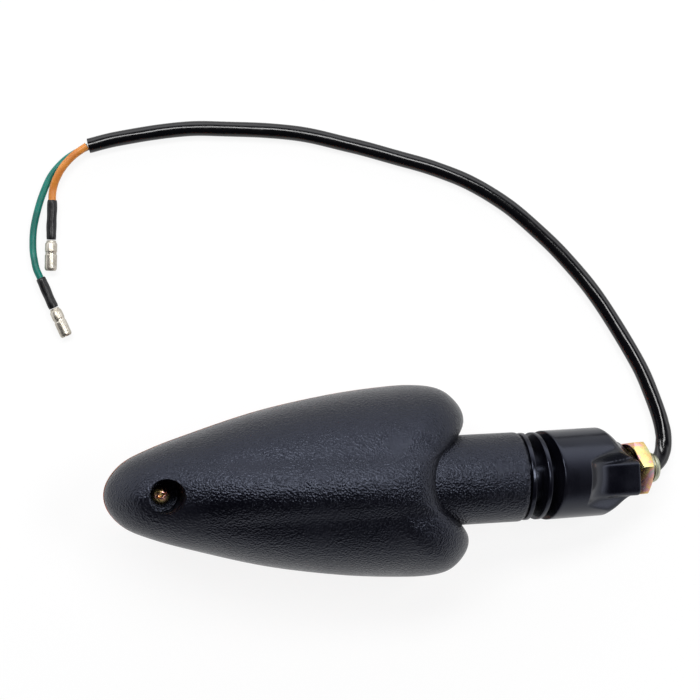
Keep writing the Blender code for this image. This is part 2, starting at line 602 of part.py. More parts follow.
def make_bulb(carrier, insulator_top, brass, glass, solder, steel, phenolic):
    radius, wall = BULB_BASE_RADIUS, BULB_BASE_WALL
    cup = [(2.4 * MM, 0.6 * MM), (radius * 0.86, 0.6 * MM), (radius, 1.6 * MM), (radius, BULB_BASE_LENGTH),
           (radius - wall, BULB_BASE_LENGTH), (radius - wall, 1.6 * MM + wall), (2.4 * MM, 0.6 * MM + wall)]
    base = piece("bulb_base", turned(cup), brass, carrier, TOWARDS_NOSE)
    for number, angle in enumerate([0, 180]):
        along = Matrix.Rotation(math.radians(angle), 4, "Z") @ Matrix.Translation((0, 0, PIN_DEPTH))
        across = TOWARDS_NOSE @ along @ Matrix.Rotation(math.radians(90), 4, "Y")
        pin = cutter(f"bayonet_pin_{number}", rod(PIN_RADIUS, radius - wall * 0.8, radius + PIN_REACH, 14),
                     carrier, across)
        combine(base, pin, "UNION")
    bead = [(0, 0), (1.6 * MM, 0), (2.1 * MM, 0.5 * MM), (2.1 * MM, 1.9 * MM), (4.6 * MM, 1.9 * MM),
            (4.6 * MM, 2.7 * MM), (0, 2.7 * MM)]
    piece("bulb_contact", turned(bead, SMALL_ROUND), solder, carrier, TOWARDS_NOSE)
    neck, ball, thick = GLASS_NECK_RADIUS, GLASS_RADIUS, GLASS_WALL
    centre = GLASS_BALL_CENTRE
    start = -math.degrees(math.acos(neck / ball))
    outside = [(neck, 4 * MM)] + arc((0, centre), ball, start, 90, 9)
    inner_start = -math.degrees(math.acos((neck - thick) / (ball - thick)))
    inside = arc((0, centre), ball - thick, 90, inner_start, 7) + [(neck - thick, 4 * MM)]
    outside[-1] = (0, centre + ball)
    inside[0] = (0, centre + ball - thick)
    piece("bulb_glass", open_vessel(outside + inside), glass, carrier, TOWARDS_NOSE)
    stalk = turned([(0, 3.0 * MM), (4.4 * MM, 3.0 * MM), (3.0 * MM, 5.5 * MM), (1.8 * MM, 14 * MM), (0, 14 * MM)], 16)
    stem = piece("bulb_filament", stalk, steel, carrier, TOWARDS_NOSE)
    for number, side in enumerate([-1, 1]):
        lead = cutter(f"filament_lead_{number}", rod(0.25 * MM, 13 * MM, centre - 1 * MM, 8), carrier,
                      TOWARDS_NOSE @ Matrix.Translation((0, side * 1.3 * MM, 0)))
        combine(stem, lead, "UNION")
    coil_place = TOWARDS_NOSE @ Matrix.Translation((0, 0, centre - 1 * MM)) @ Matrix.Rotation(math.radians(90), 4, "X")
    coil = cutter("filament_coil", rod(0.45 * MM, -1.9 * MM, 1.9 * MM, 10), carrier, coil_place)
    combine(stem, coil, "UNION")
    low = -CLEARANCE - PLUNGER_THICKNESS
    plate = [(0, low), (4.2 * MM, low), (4.2 * MM, low + 1.2 * MM), (radius - 0.2 * MM, low + 1.2 * MM),
             (radius - 0.2 * MM, -CLEARANCE - 0.6 * MM), (2.0 * MM, -CLEARANCE - 0.6 * MM), (1.6 * MM, -CLEARANCE),
             (0, -CLEARANCE)]
    piece("contact_plunger", turned(plate, 28), phenolic, carrier, TOWARDS_NOSE)
    spring_low = insulator_top + CLEARANCE + SPRING_WIRE_RADIUS
    spring_high = low + 1.2 * MM - CLEARANCE - SPRING_WIRE_RADIUS
    steps = SPRING_TURNS * 10
    helix = []
    for k in range(steps + 1):
        a = 2 * math.pi * k / 10
        height = spring_low + (spring_high - spring_low) * k / steps
        helix.append(TOWARDS_NOSE @ Vector((SPRING_RADIUS * math.cos(a), SPRING_RADIUS * math.sin(a), height)))
    cable("contact_spring", helix, SPRING_WIRE_RADIUS, steel, carrier, 1)


def open_vessel(profile):
    """A turned shell whose outline starts and ends at its open mouth and crosses the axis twice."""
    return turned(profile, 24)


# ---------------------------------------------------------------- rubber neck

def neck_positions():
    """Where the ribs and the two flex centres lie along the arm."""
    plug_face = STEM_END_X + PLUG_SHOULDER + RIB_WIDTH
    ring_start = plug_face + GROOVE
    ring_end = ring_start + RIB_WIDTH
    return {"plug_face": plug_face, "ring_start": ring_start, "ring_end": ring_end,
            "front": plug_face + GROOVE / 2, "rear": ring_end + GROOVE / 2}


def socket_hollow(centre, face, ball):
    """Profile points of a spherical socket, from its lip at a face to the neck's bore."""
    radius = ball + CLEARANCE
    lip = math.degrees(math.asin((face - centre) / radius))
    deep = -math.degrees(math.acos(NECK_BORE_RADIUS / radius))
    return arc((0, centre), radius, lip, deep, 5)


def ball_cap(centre, ball):
    """Profile points of a ball, from the neck's bore to its widest circle."""
    deep = -math.degrees(math.acos(NECK_BORE_RADIUS / ball))
    return arc((0, centre), ball, deep, 0, 5)


def rib(start, end):
    """Profile points of a rib's rounded rim."""
    near, far = start + RIB_ROUNDING, end - RIB_ROUNDING
    inside = RIB_RADIUS - RIB_ROUNDING
    return arc((inside, near), RIB_ROUNDING, -90, 0, 2) + arc((inside, far), RIB_ROUNDING, 0, 90, 2)


def make_neck(head, ring_frame, mount, rubber):
    at = neck_positions()
    spigot = STEM_BORE_RADIUS - CLEARANCE
    start = STEM_END_X - PLUG_LENGTH
    waist = RIB_RADIUS - 1.6 * MM
    shoulder = STEM_END_X + PLUG_SHOULDER
    plug = [(NECK_BORE_RADIUS, start), (spigot - 0.8 * MM, start), (spigot, start + 1.2 * MM),
            (spigot, STEM_END_X + CLEARANCE), (waist, STEM_END_X + CLEARANCE), (waist, shoulder)]
    plug += rib(shoulder, at["plug_face"]) + socket_hollow(at["front"], at["plug_face"], FRONT_BALL_RADIUS)
    piece("neck_plug", turned(plug), rubber, head, ALONG_ARM)
    ring = ball_cap(at["front"], FRONT_BALL_RADIUS) + [(FRONT_BALL_RADIUS, at["ring_start"])]
    ring += rib(at["ring_start"], at["ring_end"]) + socket_hollow(at["rear"], at["ring_end"], REAR_BALL_RADIUS)
    piece("neck_ring", turned(ring), rubber, ring_frame, Matrix.Translation((-at["rear"], 0, 0)) @ ALONG_ARM)
    make_collar(mount, rubber)


def block_reach(angle):
    """How far the keyed block's outline is from the axis, in a direction in degrees."""
    reach = BLOCK_CORNER
    for side, distance in BLOCK_SIDES:
        facing = math.cos(math.radians(angle - side))
        if facing > 0.1:
            reach = min(reach, distance * MM / facing)
    return reach


def block_directions():
    """Even directions round the axis in degrees, with one on each edge of the key's flat."""
    steps = 48
    flat, cut = BLOCK_SIDES[0], BLOCK_SIDES[1]
    turn = math.radians(cut[0])
    edge = math.degrees(math.atan2(cut[1] - flat[1] * math.cos(turn), flat[1] * math.sin(turn)))
    corner = math.degrees(math.acos(flat[1] * MM / BLOCK_CORNER))
    even = [360 * k / steps - 180 for k in range(steps)]
    spare = 0.4 * 360 / steps
    kept = [a for a in even if abs(a - edge) > spare and abs(a + corner) > spare]
    return sorted(kept + [edge, -corner])


def collar_radius(angle, along):
    """The collar's radius, which shrinks to the block's: at the key first, elsewhere from the shoulder."""
    key = 1 - ease(abs(angle - KEY_MIDDLE), KEY_HALF_WIDTH, KEY_FADE)
    start = SHOULDER_START + (KEY_START - SHOULDER_START) * key
    full = BLOCK_FULL + (KEY_FULL - BLOCK_FULL) * key
    t = min(max((along - start) / (full - start), 0), 1)
    slope = (t + ease(t, 0, 1)) / 2
    dip = 1 - (1 - t) ** 2
    share = slope + (dip - slope) * key
    return COLLAR_RADIUS + (block_reach(angle) - COLLAR_RADIUS) * share


def make_collar(mount, rubber):
    """A round collar whose end narrows to a keyed block: one flat side and one cut corner."""
    face = GROOVE / 2
    draw = 0.6 * MM
    stations = [face, face + RIB_ROUNDING, face + 5 * MM, KEY_START, KEY_START + 0.5 * MM]
    stations += [KEY_START + (KEY_FULL - KEY_START) * k / 6 for k in range(1, 7)]
    stations += [SHOULDER_START + (BLOCK_FULL - SHOULDER_START) * k / 6 for k in range(7)] + [BLOCK_END]
    directions = block_directions()
    sections = []
    for along in stations:
        shrink = {face: RIB_ROUNDING, BLOCK_END: draw}.get(along, 0)
        row = []
        for angle in directions:
            radius = collar_radius(angle, along) - shrink
            turn = math.radians(angle)
            row.append(Vector((along, radius * math.sin(turn), radius * math.cos(turn))))
        sections.append(row)
    collar = piece("rubber_collar", lofted(sections), rubber, mount)
    cap = ball_cap(0, REAR_BALL_RADIUS)
    root_depth = face + 2 * MM
    cap = turned([(0, cap[0][1])] + cap + [(REAR_BALL_RADIUS, root_depth), (0, root_depth)])
    combine(collar, cutter("collar_ball", cap, mount, ALONG_ARM), "UNION")
    passage = rod(NECK_BORE_RADIUS, -2 * REAR_BALL_RADIUS, STUD_FLANGE_START, 24)
    combine(collar, cutter("collar_passage", passage, mount, ALONG_ARM), "DIFFERENCE")
    flange_low = STUD_FLANGE_START - CLEARANCE
    flange_high = STUD_FLANGE_START + STUD_FLANGE_THICKNESS + CLEARANCE
    pocket = turned([(0, flange_low), (STUD_FLANGE_RADIUS + CLEARANCE, flange_low),
                     (STUD_FLANGE_RADIUS + CLEARANCE, flange_high), (STUD_RADIUS + CLEARANCE, flange_high),
                     (STUD_RADIUS + CLEARANCE, BLOCK_END + MM), (0, BLOCK_END + MM)])
    combine(collar, cutter("stud_pocket", pocket, mount, ALONG_ARM), "DIFFERENCE")


# ---------------------------------------------------------------- stud and nut

def stud_end():
    """How far the stud reaches along the mount's axis."""
    return BLOCK_END + CLEARANCE + NUT_THICKNESS + STUD_PROTRUSION


def make_stud(mount, steel):
    end = stud_end()
    rounding = arc((STUD_RADIUS - STUD_ROUNDING, end - STUD_ROUNDING), STUD_ROUNDING, 0, 90, 3)
    mouth = arc((STUD_BORE_RADIUS + 0.4 * MM, end - 0.4 * MM), 0.4 * MM, 90, 180, 2)
    flange_top = STUD_FLANGE_START + STUD_FLANGE_THICKNESS
    profile = [(STUD_BORE_RADIUS, STUD_FLANGE_START), (STUD_FLANGE_RADIUS, STUD_FLANGE_START),
               (STUD_FLANGE_RADIUS, flange_top), (STUD_RADIUS, flange_top)]
    piece("mounting_stud", turned(profile + rounding + mouth), steel, mount, ALONG_ARM)


def make_nut(mount, zinc):
    start = BLOCK_END + CLEARANCE
    end = start + NUT_THICKNESS
    corner = NUT_ACROSS_FLATS / 2 / math.cos(math.radians(30))
    turns = [math.radians(60 * k + NUT_CLOCKING) for k in range(6)]
    section = [(corner * math.cos(turn), corner * math.sin(turn)) for turn in turns]
    prism = lofted([[(x, y, z) for x, y in section] for z in (start, end)])
    nut = piece("hex_nut", prism, zinc, mount, ALONG_ARM, smooth=20)
    rise = (corner - NUT_ACROSS_FLATS / 2 * 0.97) * math.tan(math.radians(NUT_CHAMFER_ANGLE))
    flat = NUT_ACROSS_FLATS / 2 * 0.97
    wide = corner + MM
    grow = rise + MM * math.tan(math.radians(NUT_CHAMFER_ANGLE))
    shaper = turned([(0, start), (flat, start), (wide, start + grow), (wide, end - grow), (flat, end), (0, end)], 48)
    combine(nut, cutter("nut_chamfer", shaper, mount, ALONG_ARM), "INTERSECT")
    hole = rod(STUD_RADIUS + CLEARANCE, start - MM, end + MM)
    combine(nut, cutter("nut_hole", hole, mount, ALONG_ARM), "DIFFERENCE")


# ---------------------------------------------------------------- lead

def terminal(name, end, before, shrink_length, black, tin):
    """A shrink sleeve and a bullet terminal in line with a wire's last stretch."""
    along = (end - before).normalized()
    turn = along.to_track_quat("Z", "Y").to_matrix().to_4x4()
    start = Matrix.Translation(end + along * CLEARANCE) @ turn
    r, long = SHRINK_RADIUS, shrink_length - CLEARANCE
    profile = [(0, 0), (r * 0.84, 0), (r, 0.7 * MM), (r, long * 0.7), (r * 0.92, long), (0, long)]
    piece(f"{name}_heat_shrink", turned(profile, 12), black, None, start)
    r, inner = BULLET_RADIUS, BULLET_BORE_RADIUS
    profile = [(0, 0), (r * 0.78, 0), (r * 0.78, 0.5 * MM), (r, 1.0 * MM), (r, BULLET_LENGTH - 0.7 * MM),
               (r * 0.82, BULLET_LENGTH), (inner, BULLET_LENGTH), (inner, BULLET_LENGTH - BULLET_BORE_DEPTH),
               (0, BULLET_LENGTH - BULLET_BORE_DEPTH)]
    place = Matrix.Translation(end + along * (shrink_length + CLEARANCE)) @ turn
    piece(f"{name}_bullet", turned(profile, SMALL_ROUND), tin, None, place)


def make_lead(sleeve, orange, green, tin):
    """The lead lies on the ground, so its points are places in the room."""
    route = smooth_path([Vector(p) * MM for p in SLEEVE_ROUTE], SLEEVE_STEP)
    cable("cable_sleeve", route, SLEEVE_RADIUS, sleeve, None, 2)
    wires = [("orange", ORANGE_ROUTE, ORANGE_RADIUS, orange, ORANGE_SHRINK_LENGTH),
             ("green", GREEN_ROUTE, GREEN_RADIUS, green, GREEN_SHRINK_LENGTH)]
    for name, points, radius, insulation, shrink_length in wires:
        route = smooth_path([Vector(p) * MM for p in points], WIRE_STEP)
        cable(f"{name}_wire", route, radius, insulation, None, 2)
        terminal(name, route[-1], route[-2], shrink_length, sleeve, tin)


# ---------------------------------------------------------------- resting on the ground

def solid_points():
    """World positions of the points of the finished solids, by piece."""
    bpy.context.view_layer.update()
    graph = bpy.context.evaluated_depsgraph_get()
    found = {}
    for thing in bpy.context.scene.objects:
        if thing.type not in {"MESH", "CURVE"} or thing.display_type == "WIRE":
            continue
        evaluated = thing.evaluated_get(graph)
        mesh = evaluated.to_mesh()
        points = np.empty(len(mesh.vertices) * 3)
        mesh.vertices.foreach_get("co", points)
        place = np.array(thing.matrix_world)
        found[thing.name] = points.reshape(-1, 3) @ place[:3, :3].T + place[:3, 3]
        evaluated.to_mesh_clear()
    return found


def settle(root):
    """Tip the whole until lens and nut are level, and put the middle of its box on the ground."""
    points = solid_points()
    lens, nut = points["lens"], points["hex_nut"]
    low, high = 0.0, math.radians(40)
    for _ in range(50):
        tilt = (low + high) / 2
        lens_low = (lens[:, 2] * math.cos(tilt) - lens[:, 0] * math.sin(tilt)).min()
        nut_low = (nut[:, 2] * math.cos(tilt) - nut[:, 0] * math.sin(tilt)).min()
        if nut_low > lens_low:
            low = tilt
        else:
            high = tilt
    tip = Matrix.Rotation(tilt, 4, "Y")
    turned_points = np.vstack(list(points.values())) @ np.array(tip.to_3x3()).T
    least, most = turned_points.min(axis=0), turned_points.max(axis=0)
    root.matrix_local = Matrix.Translation((-(least[0] + most[0]) / 2, -(least[1] + most[1]) / 2, -least[2])) @ tip
    bpy.context.view_layer.update()


# ---------------------------------------------------------------- the model

def build():
    for thing in list(bpy.context.scene.objects):
        bpy.data.objects.remove(thing, do_unlink=True)
    black_plastic = finish("grained_black_plastic", (0.022, 0.022, 0.026), 0.5)
    rubber = finish("black_rubber", (0.014, 0.014, 0.016), 0.38)
    amber = finish("amber_lens", (0.9, 0.28, 0.02), 0.12)
    silvered = finish("silvered_plastic", (0.8, 0.8, 0.82), 0.12, 1.0)
    yellow_zinc = finish("yellow_zinc", (0.72, 0.56, 0.2), 0.3, 1.0)
    olive_zinc = finish("olive_zinc", (0.42, 0.42, 0.3), 0.35, 1.0)
    steel = finish("bright_steel", (0.6, 0.6, 0.6), 0.3, 1.0)
    brass = finish("brass", (0.75, 0.58, 0.28), 0.3, 1.0)
    solder = finish("solder", (0.62, 0.62, 0.63), 0.4, 1.0)
    phenolic = finish("phenolic_board", (0.28, 0.12, 0.05), 0.6)
    glass = finish("clear_glass", (0.95, 0.95, 0.95), 0.03)
    live = finish("orange_insulation", (0.7, 0.25, 0.04), 0.45)
    ground = finish("green_insulation", (0.0, 0.2, 0.15), 0.45)
    rubber_sleeve = finish("black_sleeving", (0.012, 0.012, 0.014), 0.25)
    tin = finish("tinned_brass", (0.6, 0.58, 0.54), 0.4, 1.0)

    at = neck_positions()
    bend = Matrix.Rotation(math.radians(NECK_BEND / 2), 4, "Y")
    root = frame("indicator", Matrix())
    head_pivot = frame("head_pivot", Matrix.Translation((at["front"], 0, 0)), root)
    head = frame("head", Matrix.Translation((-at["front"], 0, 0)), head_pivot)
    carrier = frame("bulb_slide", Matrix(), head)
    bent = Matrix.Translation((at["front"], 0, 0)) @ bend @ Matrix.Translation((at["rear"] - at["front"], 0, 0))
    ring_frame = frame("ring_pivot", bent, root)
    mount = frame("mount_frame", bent @ bend, root)

    make_housing(head, black_plastic)
    make_seal(head, rubber)
    make_lens(head, amber)
    make_reflector(head, silvered)
    make_screw(head, yellow_zinc)
    insulator_top = make_socket(head, steel, phenolic, brass, rubber, live, ground)
    make_bulb(carrier, insulator_top, brass, glass, solder, steel, phenolic)
    make_neck(head, ring_frame, mount, rubber)
    make_stud(mount, olive_zinc)
    make_nut(mount, yellow_zinc)
    settle(root)
    make_lead(rubber_sleeve, live, ground, tin)


build()
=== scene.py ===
# %% [markdown]
# # A motorcycle turn signal indicator
#
# The object is a teardrop lamp head on a hollow arm, a rubber neck that can flex, a rubber collar with a
# keyed block, a hollow threaded stud with its nut, and a lead with two wires. It lies on its lens, and the
# camera looks straight down at its back shell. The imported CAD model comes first: every piece made here
# rides on one of its bodies, so that the neck, the nut and the bulb can still move.

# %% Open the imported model
import math
import bmesh
import bpy
import numpy as np
from mathutils import Matrix, Vector


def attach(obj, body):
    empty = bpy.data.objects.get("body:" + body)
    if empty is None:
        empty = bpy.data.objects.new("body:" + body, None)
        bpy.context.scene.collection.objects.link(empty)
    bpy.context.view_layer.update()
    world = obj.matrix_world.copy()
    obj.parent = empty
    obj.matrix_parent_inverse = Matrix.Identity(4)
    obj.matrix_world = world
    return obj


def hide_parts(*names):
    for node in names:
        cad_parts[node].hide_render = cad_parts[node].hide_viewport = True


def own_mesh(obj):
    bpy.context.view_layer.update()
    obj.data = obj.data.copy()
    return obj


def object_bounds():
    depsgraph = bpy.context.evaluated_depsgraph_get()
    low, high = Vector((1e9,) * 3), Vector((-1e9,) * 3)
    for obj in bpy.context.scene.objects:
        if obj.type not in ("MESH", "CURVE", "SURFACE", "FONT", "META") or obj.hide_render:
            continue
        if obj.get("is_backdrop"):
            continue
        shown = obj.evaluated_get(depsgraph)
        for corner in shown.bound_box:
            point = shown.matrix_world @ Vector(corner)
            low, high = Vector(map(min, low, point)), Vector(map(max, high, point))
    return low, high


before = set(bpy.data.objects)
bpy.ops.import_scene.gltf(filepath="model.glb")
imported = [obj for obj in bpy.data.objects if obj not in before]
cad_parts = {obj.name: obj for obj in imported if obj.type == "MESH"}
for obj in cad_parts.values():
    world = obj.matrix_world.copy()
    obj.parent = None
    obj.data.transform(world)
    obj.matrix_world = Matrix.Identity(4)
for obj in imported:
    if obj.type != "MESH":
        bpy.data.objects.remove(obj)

MM = 0.001
scene = bpy.context.scene
cad_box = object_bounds()

# %% [markdown]
# ## Three working frames
#
# The head is drawn in its own frame: x runs from the nose along the arm, z out of the back shell, and the
# arm's axis is z = 0. The whole is tipped by 12.6 degrees until lens and nut touch the ground. The rubber
# neck rests bent by 13 degrees, half at each of its two balls, so the middle ring and the mount behind it
# have frames of their own. Drawing a piece in the frame that suits it and moving its mesh afterwards keeps
# all the numbers plain.

# %% The frames of the head, the middle ring and the mount
HEAD = Matrix.Translation((-0.08222722, 0, 0.05274021)) @ Matrix.Rotation(math.radians(12.6364), 4, "Y")
HALF_BEND = Matrix.Rotation(math.radians(6.5), 4, "Y")
RING = HEAD @ Matrix.Translation((128 * MM, 0, 0)) @ HALF_BEND @ Matrix.Translation((3.65 * MM, 0, 0))
MOUNT = RING @ HALF_BEND
ALONG = Matrix.Rotation(math.radians(90), 4, "Y")
print("the stud's axis leaves at", [round(v, 4) for v in MOUNT.translation])

# %% [markdown]
# ## Camera
#
# The photograph looks straight down on the table. The camera's place, turn and focal length were worked out
# from the outline of the real object, so that each edge falls on the same pixel. Its aim is a product of
# three small turns about a point on the table, and the camera stands 738 mm above that point.

# %% Place the camera
SENSOR, PHOTO_PIXELS, FOCAL_PIXELS = 36, 700, 2358.87
AIM_POINT, CAMERA_HEIGHT = (-0.0094314, 0.0406164, 0), 0.738396
AIM_TURNS = (("X", -0.3158), ("Y", 0.0911), ("Z", 2.5232))

lens_view = bpy.data.cameras.new("camera")
lens_view.sensor_width = SENSOR
lens_view.lens = SENSOR * FOCAL_PIXELS / PHOTO_PIXELS
lens_view.clip_start = 0.01
camera = bpy.data.objects.new("camera", lens_view)
scene.collection.objects.link(camera)
scene.camera = camera
aim = Matrix.Identity(4)
for turn_axis, degrees in AIM_TURNS:
    aim = aim @ Matrix.Rotation(math.radians(degrees), 4, turn_axis)
camera.matrix_world = (Matrix.Translation(AIM_POINT) @ aim.transposed()
                       @ Matrix.Translation((0, 0, CAMERA_HEIGHT)))
print("focal length", round(lens_view.lens, 1), "mm")

# %% [markdown]
# ## Shader maths as plain Python
#
# A material is a small machine of nodes. Written out node by node it is long and hard to read, so two small
# classes help. `Wire` wraps one socket, and sums on it add Math nodes. `Finish` is one material: its
# `node` method adds any node, and `soft` makes the whole look of a plastic or rubber from a few numbers.

# %% A socket that can be used in sums
class Wire:
    """One output socket. Arithmetic on it adds Math nodes to the same material."""

    def __init__(self, finish, socket):
        self.finish, self.socket = finish, socket

    def sum(self, operation, one, two):
        return self.finish.node("Math", {"operation": operation}, {0: one, 1: two})

    def __add__(self, other): return self.sum("ADD", self, other)
    def __sub__(self, other): return self.sum("SUBTRACT", self, other)
    def __mul__(self, other): return self.sum("MULTIPLY", self, other)
    def most(self, other): return self.sum("MAXIMUM", self, other)

print("sockets can be added and multiplied")

# %% One material and its nodes
class Finish:
    """A material. Constants go to the shader's own sockets, what varies comes through nodes."""

    def __init__(self, name, tree=None, **constants):
        if tree is None:
            self.material = bpy.data.materials.new(name)
            self.material.use_nodes = True
            tree = self.material.node_tree
            self.shader = tree.nodes["Principled BSDF"]
        self.tree = tree
        self.take(constants)

    def feed(self, socket, value):
        """Link a wire to a socket, or set the socket's own value."""
        if isinstance(value, Wire):
            self.tree.links.new(value.socket, socket)
        else:
            socket.default_value = value

    def take(self, values):
        """Feed the shader's sockets, given by names such as base_color."""
        for name, value in values.items():
            self.feed(self.shader.inputs[name.replace("_", " ").title().replace("Ior", "IOR")], value)

    def node(self, kind, settings=None, inputs=None, out=0):
        """Add a node: its type, its settings (set first), and the values or wires of its sockets."""
        node = self.tree.nodes.new("ShaderNode" + kind)
        for name, value in (settings or {}).items():
            if name != "stops":
                setattr(node, name, value)
                continue
            marks = node.color_ramp.elements
            while len(marks) < len(value):
                marks.new(0.5)
            for mark, (place, colour) in zip(marks, value):
                mark.position, mark.color = place, (*colour, 1)
        for name, value in (inputs or {}).items():
            self.feed(node.inputs[name], value)
        return Wire(self, node.outputs[out])

    def place(self, stretch=(1, 1, 1)):
        """Positions on the object in metres, stretched along its axes where a pattern has a direction."""
        where = self.node("TexCoord", out="Object")
        return self.node("Mapping", inputs={"Vector": where, "Scale": stretch})

    def noise(self, size, detail=3, stretch=(1, 1, 1), rough=0.5):
        """Cloudy noise from 0 to 1 whose blotches are about this many metres across."""
        values = {"Vector": self.place(stretch), "Scale": 1 / size, "Detail": detail, "Roughness": rough}
        return self.node("TexNoise", inputs=values)

    def cells(self, size, smooth=0.6):
        """Rounded pebbles of about this size: the distance to the nearest of many scattered points."""
        settings = {"feature": "SMOOTH_F1"}
        values = {"Vector": self.place(), "Scale": 1 / size, "Smoothness": smooth}
        return self.node("TexVoronoi", settings, values)

    def spread(self, value, low, high, to_low=0.0, to_high=1.0):
        """Stretch a part of a value's range over another range, and clamp it."""
        values = {0: value, 1: low, 2: high, 3: to_low, 4: to_high}
        return self.node("MapRange", {"interpolation_type": "SMOOTHSTEP"}, values)

    def colours(self, share, stops):
        return self.node("ValToRGB", {"stops": stops}, {0: share})

    def blend(self, share, one, two):
        """Mix two colours, each a wire or three numbers."""
        one = one if isinstance(one, Wire) else (*one, 1)
        two = two if isinstance(two, Wire) else (*two, 1)
        return self.node("Mix", {"data_type": "RGBA"}, {0: share, 6: one, 7: two}, out=2)

    def relief(self, height, depth, strength=1.0):
        """Turn a height from 0 to 1 into bumps that are this many metres deep."""
        values = {"Height": height, "Distance": depth, "Strength": strength}
        return self.node("Bump", inputs=values, out="Normal")

    def specks(self, size, detail, low, high):
        """Only the peaks of a noise, as dust or grime."""
        return self.spread(self.noise(size, detail), low, high)

    def soft(self, cloud, tones, shine, share=None, dust=None, bumps=None):
        """Two tones and a roughness that follow a cloud, with dust over them and bumps under them."""
        colour = self.blend(share or self.spread(cloud, 0.3, 0.7), *tones)
        if dust:
            specks, part, tint = dust
            colour = self.blend(specks * part, colour, tint)
        rough = shine if isinstance(shine, Wire) else self.spread(cloud, 0.3, 0.7, *shine)
        self.take({"base_color": colour, "roughness": rough})
        if bumps:
            self.take({"normal": self.relief(*bumps)})
        return self

print("shader helpers ready")

# %% [markdown]
# ## Surroundings
#
# The real photograph is a cut-out on pure white. A white table gives the same and keeps a soft contact
# shadow: for camera, glossy and transmission rays most of its colour is a plain white emission, and only a
# share of it is lit. The room is bright near the horizon, most of all towards +Y, and almost black
# overhead, which gives black plastic its light edges and its dark middle. Two softboxes above draw the
# highlights of the ridge and the arm, and a low one fills the near side.

# %% Table, room and lamps
GLOW, EXTRA_GLOW, GLOW_SHARE = 0.8, 0.28, 0.8

def backdrop_material():
    table = Finish("white_table", Base_Color=(0.8, 0.8, 0.8, 1), Roughness=0.9)
    sees = table.node("LightPath", out="Is Camera Ray")
    for ray in ("Is Glossy Ray", "Is Transmission Ray"):
        sees = sees.most(table.node("LightPath", out=ray))
    direct = table.node("LightPath", out="Is Camera Ray")
    glow = table.node("Emission", inputs={"Color": (1, 1, 1, 1), "Strength": direct * EXTRA_GLOW + GLOW})
    lit = Wire(table, table.shader.outputs[0])
    both = table.node("MixShader", inputs={0: sees * GLOW_SHARE, 1: lit, 2: glow})
    table.feed(table.tree.nodes["Material Output"].inputs["Surface"], both)
    return table.material

HALF_TABLE, TABLE_DROP = 3, 0.2 * MM
table_mesh = bpy.data.meshes.new("table")
table_corners = [(x * HALF_TABLE, y * HALF_TABLE, 0) for x, y in ((-1, -1), (1, -1), (1, 1), (-1, 1))]
table_mesh.from_pydata(table_corners, [], [(0, 1, 2, 3)])
table_mesh.materials.append(backdrop_material())
table_top = bpy.data.objects.new("table", table_mesh)
scene.collection.objects.link(table_top)
table_top.location.z = -TABLE_DROP
table_top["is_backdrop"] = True

world = bpy.data.worlds.new("room")
world.use_nodes = True
scene.world = world
room = Finish("room", world.node_tree)
way = room.node("TexCoord", out="Generated")
height, side = (room.node("SeparateXYZ", inputs={0: way}, out=axis) for axis in "ZY")
SKY = [(0.0, (1.8, 1.8, 1.85)), (0.2, (1.35, 1.35, 1.4)), (0.36, (0.5, 0.5, 0.55)), (0.5, (0.008, 0.008, 0.01))]
SKY_LEAN = 0.32
shade = room.colours(height - side * SKY_LEAN, SKY)
shade = room.blend(room.spread(side, -0.8, 0.4, 0.7, 1.0), (0, 0, 0), shade)
seen = room.blend(room.node("LightPath", out="Is Camera Ray"), shade, (1, 1, 1))
background = world.node_tree.nodes["Background"]
room.feed(background.inputs["Color"], seen)
background.inputs["Strength"].default_value = 1.0

def softbox(name, place, target, size, power):
    lamp = bpy.data.lights.new(name, "AREA")
    lamp.shape = "RECTANGLE"
    lamp.size, lamp.size_y = size
    lamp.energy = power
    thing = bpy.data.objects.new(name, lamp)
    scene.collection.objects.link(thing)
    thing.location = place
    thing.rotation_euler = (Vector(target) - Vector(place)).to_track_quat("-Z", "Y").to_euler()

softbox("upper_softbox", (-0.10, 0.42, 0.80), (-0.02, 0.0, 0.02), (0.72, 0.20), 4.6)
softbox("arm_light", (0.43, 0.10, 0.80), (0.03, 0.0, 0.02), (0.32, 0.22), 2.4)
softbox("low_fill", (0.1, -0.9, 0.28), (0.0, 0, 0.02), (0.9, 0.2), 0.4)
scene.view_settings.view_transform = "Standard"
print("table, room and three lamps")

# %% [markdown]
# ## Building blocks for meshes
#
# Nearly every piece here is a stack of rings: a turned bolt, a bent tube, the teardrop shell. One function
# skins a stack of rings with quads and closes its ends. A second one rounds the corners of a profile before
# it is turned, because a moulded or machined edge is never perfectly sharp, and light catches on it.

# %% Skins, turned shapes and rounded corners
def quads(rings, closed=False):
    """A new mesh with quads over a stack of rings with the same number of points, and its rows."""
    shape = bmesh.new()
    rows = [[shape.verts.new(p) for p in ring] for ring in rings]
    count = len(rows[0])
    for low, high in zip(rows, rows[1:] + (rows[:1] if closed else [])):
        for k in range(count):
            shape.faces.new([low[k], low[(k + 1) % count], high[(k + 1) % count], high[k]])
    return shape, rows

def skin(rings, closed=False):
    """Quads over a stack of rings, its ends filled or joined."""
    shape, rows = quads(rings, closed)
    count = len(rows[0])
    if not closed:
        for row in (rows[0], rows[-1]):
            middle = shape.verts.new(sum((v.co for v in row), Vector()) / count)
            for k in range(count):
                shape.faces.new([row[k], row[(k + 1) % count], middle])
    bmesh.ops.remove_doubles(shape, verts=shape.verts, dist=1e-7)
    bmesh.ops.dissolve_degenerate(shape, edges=shape.edges, dist=1e-8)
    return shape

